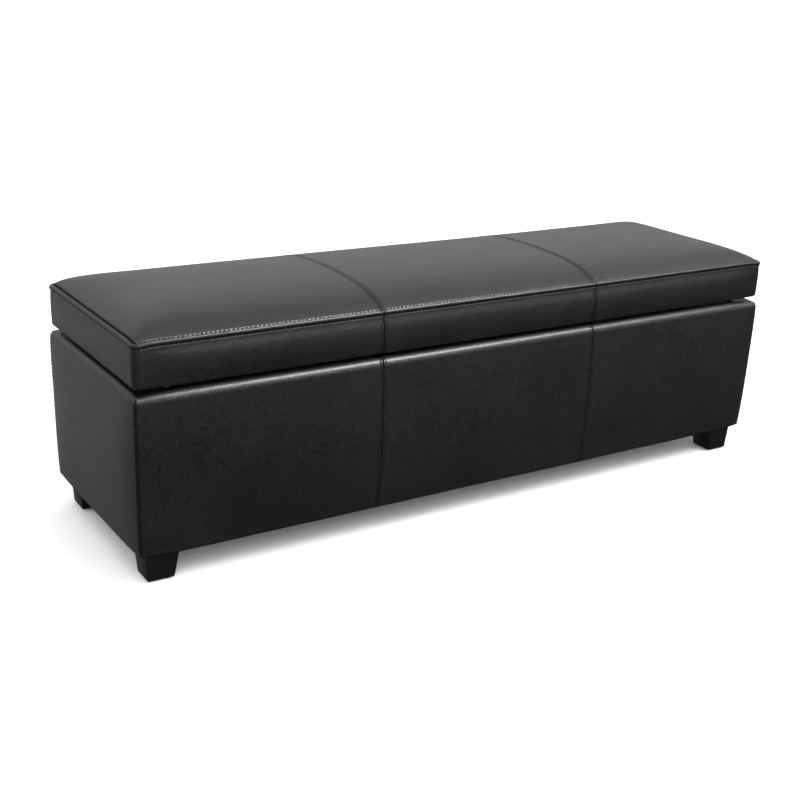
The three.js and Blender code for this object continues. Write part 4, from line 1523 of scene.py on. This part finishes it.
class Linings(bpy.types.Operator):
    """Make the cloth linings of the box and the lid, the dust cover and their staples"""

    bl_idname = "bench.linings"
    bl_label = "Linings"

    def execute(self, context):
        cloth = lining_cloth()
        self.box_lining(cloth)
        lid_low, lid_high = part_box("lid_lining")
        lid_sheet = self.sheet("lid_lining_cloth", lid_low, lid_high, lid_low[2], -1, 1.0)
        finished(lid_sheet, cloth, "lid", ["lid_lining"])
        low_box, high_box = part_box("dust_cover")
        dust = self.sheet("dust_cover_cloth", low_box, high_box, low_box[2], -1, 0.4)
        finished(dust, cloth, "box", ["dust_cover"])
        self.staples("lid_staples", "lid", lid_low, lid_high, lid_low[2], -1)
        self.staples("dust_staples", "box", low_box, high_box, low_box[2], -1)
        return {"FINISHED"}

    def box_lining(self, cloth):
        """The lining glued inside the box, as a tray with soft inner corners."""
        low_box, high_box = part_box("box_lining")
        xs = np.linspace(low_box[0], high_box[0], 80)
        ys = np.linspace(low_box[1], high_box[1], 26)
        rise = np.array([0, 0.8, 2.4, 5, 9, 20, 45, 90, 130, 165, 190, 200, 204.4]) * MM
        tuck = np.array([5, 3.2, 1.6, 0.6, 0.1, 0, 0, 0, 0, 0, 0, 0, 0]) * MM
        floor_z = low_box[2] + GLUE_GAP
        loop = [(x, ys[0]) for x in xs[:-1]] + [(xs[-1], y) for y in ys[:-1]]
        loop += [(x, ys[-1]) for x in xs[:0:-1]] + [(xs[0], y) for y in ys[:0:-1]]
        middle_y = (ys[0] + ys[-1]) / 2
        half = Vector(((xs[-1] - xs[0]) / 2, (ys[-1] - ys[0]) / 2, 0))

        def drawn_in(x, y, pull):
            pull += GLUE_GAP
            return x * (1 - pull / half.x), middle_y + (y - middle_y) * (1 - pull / half.y)

        points, faces, count = [], [], len(loop)
        for height, pull in zip(rise, tuck):
            points += [(*drawn_in(x, y, pull), floor_z + height) for x, y in loop]
        for r in range(len(rise) - 1):
            for k in range(count):
                j = (k + 1) % count
                a, b = r * count, (r + 1) * count
                faces.append((a + k, b + k, b + j, a + j))
        grid = {}
        edge = {p: k for k, p in enumerate(loop)}
        for n, y in enumerate(ys):
            for m, x in enumerate(xs):
                if (x, y) in edge:
                    grid[(m, n)] = edge[(x, y)]
                else:
                    grid[(m, n)] = len(points)
                    lift = 0.35 * MM * (1 + noise.noise(Vector((x * 9, y * 9, 1.5))))
                    points.append((*drawn_in(x, y, tuck[0]), floor_z + lift))
        for n in range(len(ys) - 1):
            for m in range(len(xs) - 1):
                faces.append((grid[(m, n)], grid[(m + 1, n)], grid[(m + 1, n + 1)], grid[(m, n + 1)]))
        piece = shelled(mesh_object("box_lining_cloth", points, faces), 0.8 * MM)
        finished(piece, cloth, "box", ["box_lining"])
        height = float(rise[-1])

    def sheet(self, name, low_box, high_box, z, facing, wave):
        """A nearly flat sheet of cloth with a little slack, facing up or down."""
        xs, ys = np.linspace(low_box[0], high_box[0], 90), np.linspace(low_box[1], high_box[1], 30)
        points, faces = [], []
        for y in ys:
            for x in xs:
                share = min(x - xs[0], xs[-1] - x, y - ys[0], ys[-1] - y) / (20 * MM)
                slack = noise.noise(Vector((x * 12, y * 12, 4.0))) * min(share, 1) * 0.3 * MM * wave
                points.append((x, y, z + abs(slack)))
        width = len(xs)
        for n in range(len(ys) - 1):
            for m in range(width - 1):
                a = n * width + m
                face = (a, a + 1, a + width + 1, a + width)
                faces.append(face if facing > 0 else face[::-1])
        return shelled(mesh_object(name, points, faces), 0.5 * MM)

    def staples(self, name, body, low_box, high_box, z, up):
        """Wire staples along the four edges of a sheet."""
        pitch = bpy.context.scene.bench_sizes.staple_pitch
        inset = 6 * MM
        x0, x1 = low_box[0] + inset, high_box[0] - inset
        y0, y1 = low_box[1] + inset, high_box[1] - inset
        staple = block(
            "one_staple",
            ((-5 * MM, -0.45 * MM, -0.4 * MM), (5 * MM, 0.45 * MM, -0.4 * MM)),
            ((-5 * MM, -0.45 * MM, 0.15 * MM), (5 * MM, 0.45 * MM, 0.15 * MM)),
            0.18 * MM,
            1,
        )
        z = z + up * 0.1 * MM
        corners = [(x0, y0, z), (x1, y0, z), (x1, y1, z), (x0, y1, z)]
        points, edges = [], []
        for k in range(4):
            points += [corners[k], corners[(k + 1) % 4]]
            edges.append((2 * k, 2 * k + 1))
        values = {"Pitch": pitch, "Item": staple, "Uneven": 0.0, "Material": zinc_steel()}
        row = repeated(name, seam_tree(), mesh_object("base", points, (), edges), **values)
        removed(staple)
        finished(row, zinc_steel(), body, (), 40)


class Hardware(bpy.types.Operator):
    """Make the rubber bumpers and finish the boards, blocks, bolts and stays of the model"""

    bl_idname = "bench.hardware"
    bl_label = "Hardware"

    def execute(self, context):
        for side, sign in ENDS:
            low_box, high_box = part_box(f"bumper_{side}")
            radius, height = (high_box[0] - low_box[0]) / 2, high_box[2] - low_box[2]
            outline = [(radius * 0.45, -height / 2), (radius * 0.8, -height / 2 + 0.5 * MM)]
            outline += [(radius * 0.97, -height / 2 + 1.6 * MM), (radius, 0), (radius, height / 2 - 0.5 * MM)]
            outline.append((radius * 0.95, height / 2))
            piece = turned(f"rubber_bumper_{side}", centre(f"bumper_{side}"), outline, 32)
            finished(piece, rubber(), "lid", [f"bumper_{side}"], 45)
        makers = {
            "chipboard": particle_board,
            "pine": pine,
            "foam": foam,
            "black_cloth": lining_cloth,
            "black_felt": felt,
            "zinc_steel": zinc_steel,
            "black_rubber": rubber,
            "black_wood": stained_wood,
            "black_leather": leather,
        }
        for name, node in frame["nodes"].items():
            slots = [slot.name.split(".")[0] for slot in node.data.materials if slot]
            found = [makers[slot] for slot in slots if slot in makers]
            if not found:
                raise RuntimeError(f"no finish for {name}, whose slots are {slots}")
            for index, maker in enumerate(found):
                node.data.materials[index] = maker()
        return {"FINISHED"}


# ------------------------------------------------------------------ the studio


CAMERA_PLACE = Vector((-1.2542, -1.8584, 0.9388))
YAW, PITCH, ROLL = 32.73, 19.46, 2.03
LENS, SENSOR = 56.6, 36
BENCH_TOP = (0, 0, 0.4)
FLOOR_REACH = 14.0
SKY, BACKDROP = 0.74, 1.1


class Studio(bpy.types.Operator):
    """Make the floor, the soft lights, the surroundings and the camera"""

    bl_idname = "bench.studio"
    bl_label = "Studio"

    def execute(self, context):
        self.floor()
        self.surroundings()
        self.lights()
        self.camera()
        context.scene.view_settings.view_transform = "Standard"
        return {"FINISHED"}

    def floor(self):
        steps = 64
        turns = [2 * math.pi * k / steps for k in range(steps)]
        points = [(0, 0, 0)]
        points += [(FLOOR_REACH * math.cos(a), FLOOR_REACH * math.sin(a), 0) for a in turns]
        faces = [(0, 1 + k, 1 + (k + 1) % steps) for k in range(steps)]
        piece = mesh_object("studio_floor", points, faces)
        colours = bpy.context.scene.bench_colours

        def build(finish):
            place = finish.coordinates()
            tone = finish.cloud(place, 3, 2)
            return {
                "Base Color": finish.blend(tone, scaled(colours.floor, 0.99), colours.floor),
                "Roughness": 0.9,
                "Specular IOR Level": 0.1,
            }

        piece.data.materials.append(surface("studio_paper", build))
        piece.visible_glossy = False

    def surroundings(self):
        world = bpy.data.worlds.new("studio_world")
        bpy.context.scene.world = world
        finish = Finish(world)
        way = finish.add("ShaderNodeTexCoord")["Generated"]
        parts = finish.add("ShaderNodeSeparateXYZ", None, {"Vector": way})
        x, y, z = parts["X"], parts["Y"], parts["Z"]
        above = finish.between(z, -0.02, 0.16)
        behind = finish.between(y, 0.60, 0.90)
        left = finish.between(x * -1.0, -0.1, 0.6)
        lower = finish.between(z, -0.52, -0.28, 0.45, 1.0)
        below = (0.075 + behind * 0.32 + behind * left * 0.08) * lower
        strength = above * SKY + (1 - above) * below
        seen = finish.add("ShaderNodeLightPath")["Is Camera Ray"]
        strength = strength * (1 - seen) + seen * BACKDROP
        light = finish.add("ShaderNodeBackground", None, {"Color": (1, 1, 1, 1), "Strength": strength})
        finish.add("ShaderNodeOutputWorld", None, {"Surface": light["Background"]})

    def lights(self):
        self.softbox("softbox_above", (1.2, -1.8, 2.5), BENCH_TOP, (1.3, 1.3), 78)
        strip = self.softbox("strip_light", (1.4, -1.55, 2.45), (1.4, -0.2, 0.4), (1.9, 0.45), 85)
        strip.visible_diffuse = False
        fill = self.softbox("front_fill", (-1.0, -4.0, 2.2), (0, -0.5, 0), (3.0, 2.0), 60)
        fill.visible_glossy = False
        ceiling = self.softbox("ceiling_bounce", (0, 0, 6), (0, 0, 0), (30.0, 30.0), 2650)
        ceiling.visible_glossy = False

    def softbox(self, name, place, target, size, power):
        light = bpy.data.lights.new(name, "AREA")
        light.shape = "RECTANGLE"
        light.size, light.size_y = size
        light.energy = power
        lamp = bpy.data.objects.new(name, light)
        lamp.location = place
        lamp.rotation_euler = (Vector(target) - Vector(place)).to_track_quat("-Z", "Y").to_euler()
        bpy.context.scene.collection.objects.link(lamp)
        return lamp

    def camera(self):
        lens = bpy.data.cameras.new("camera")
        lens.sensor_width, lens.lens = SENSOR, LENS
        eye = bpy.data.objects.new("camera", lens)
        yaw, pitch, roll = (math.radians(angle) for angle in (YAW, PITCH, ROLL))
        forward = Vector((math.sin(yaw) * math.cos(pitch), math.cos(yaw) * math.cos(pitch), -math.sin(pitch)))
        right = Vector((math.cos(yaw), -math.sin(yaw), 0))
        up = right.cross(forward)
        side = right * math.cos(roll) + up * math.sin(roll)
        top = up * math.cos(roll) - right * math.sin(roll)
        turn = Matrix((side, top, -forward)).transposed().to_4x4()
        eye.matrix_world = Matrix.Translation(CAMERA_PLACE + Vector((0, MIDDLE_Y, 0))) @ turn
        bpy.context.scene.collection.objects.link(eye)
        bpy.context.scene.camera = eye


# ------------------------------------------------------------------ the sidebar and the whole bench


OPERATORS = (Studio, LidLeather, BoxLeather, Feet, PianoHinge, Linings, Hardware)


class BenchPanel(bpy.types.Panel):
    """The bench's sizes, colours and makers."""

    bl_idname = "VIEW3D_PT_bench"
    bl_label = "Storage Bench"
    bl_space_type = "VIEW_3D"
    bl_region_type = "UI"
    bl_category = "Bench"

    def draw(self, context):
        for group in (context.scene.bench_sizes, context.scene.bench_colours):
            for name in group.__annotations__:
                self.layout.prop(group, name)
        for operator in OPERATORS:
            self.layout.operator(operator.bl_idname)


CLASSES = (BenchSizes, BenchColours, *OPERATORS, BenchPanel)


def register():
    for kind in CLASSES:
        bpy.utils.register_class(kind)
    bpy.types.Scene.bench_sizes = PointerProperty(type=BenchSizes)
    bpy.types.Scene.bench_colours = PointerProperty(type=BenchColours)


def unregister():
    del bpy.types.Scene.bench_sizes
    del bpy.types.Scene.bench_colours
    for kind in reversed(CLASSES):
        bpy.utils.unregister_class(kind)


def main():
    register()
    bpy.ops.bench.studio()
    bpy.ops.bench.lid_leather()
    bpy.ops.bench.box_leather()
    bpy.ops.bench.feet()
    bpy.ops.bench.piano_hinge()
    bpy.ops.bench.linings()
    bpy.ops.bench.hardware()


if __name__ == "__main__":
    main()
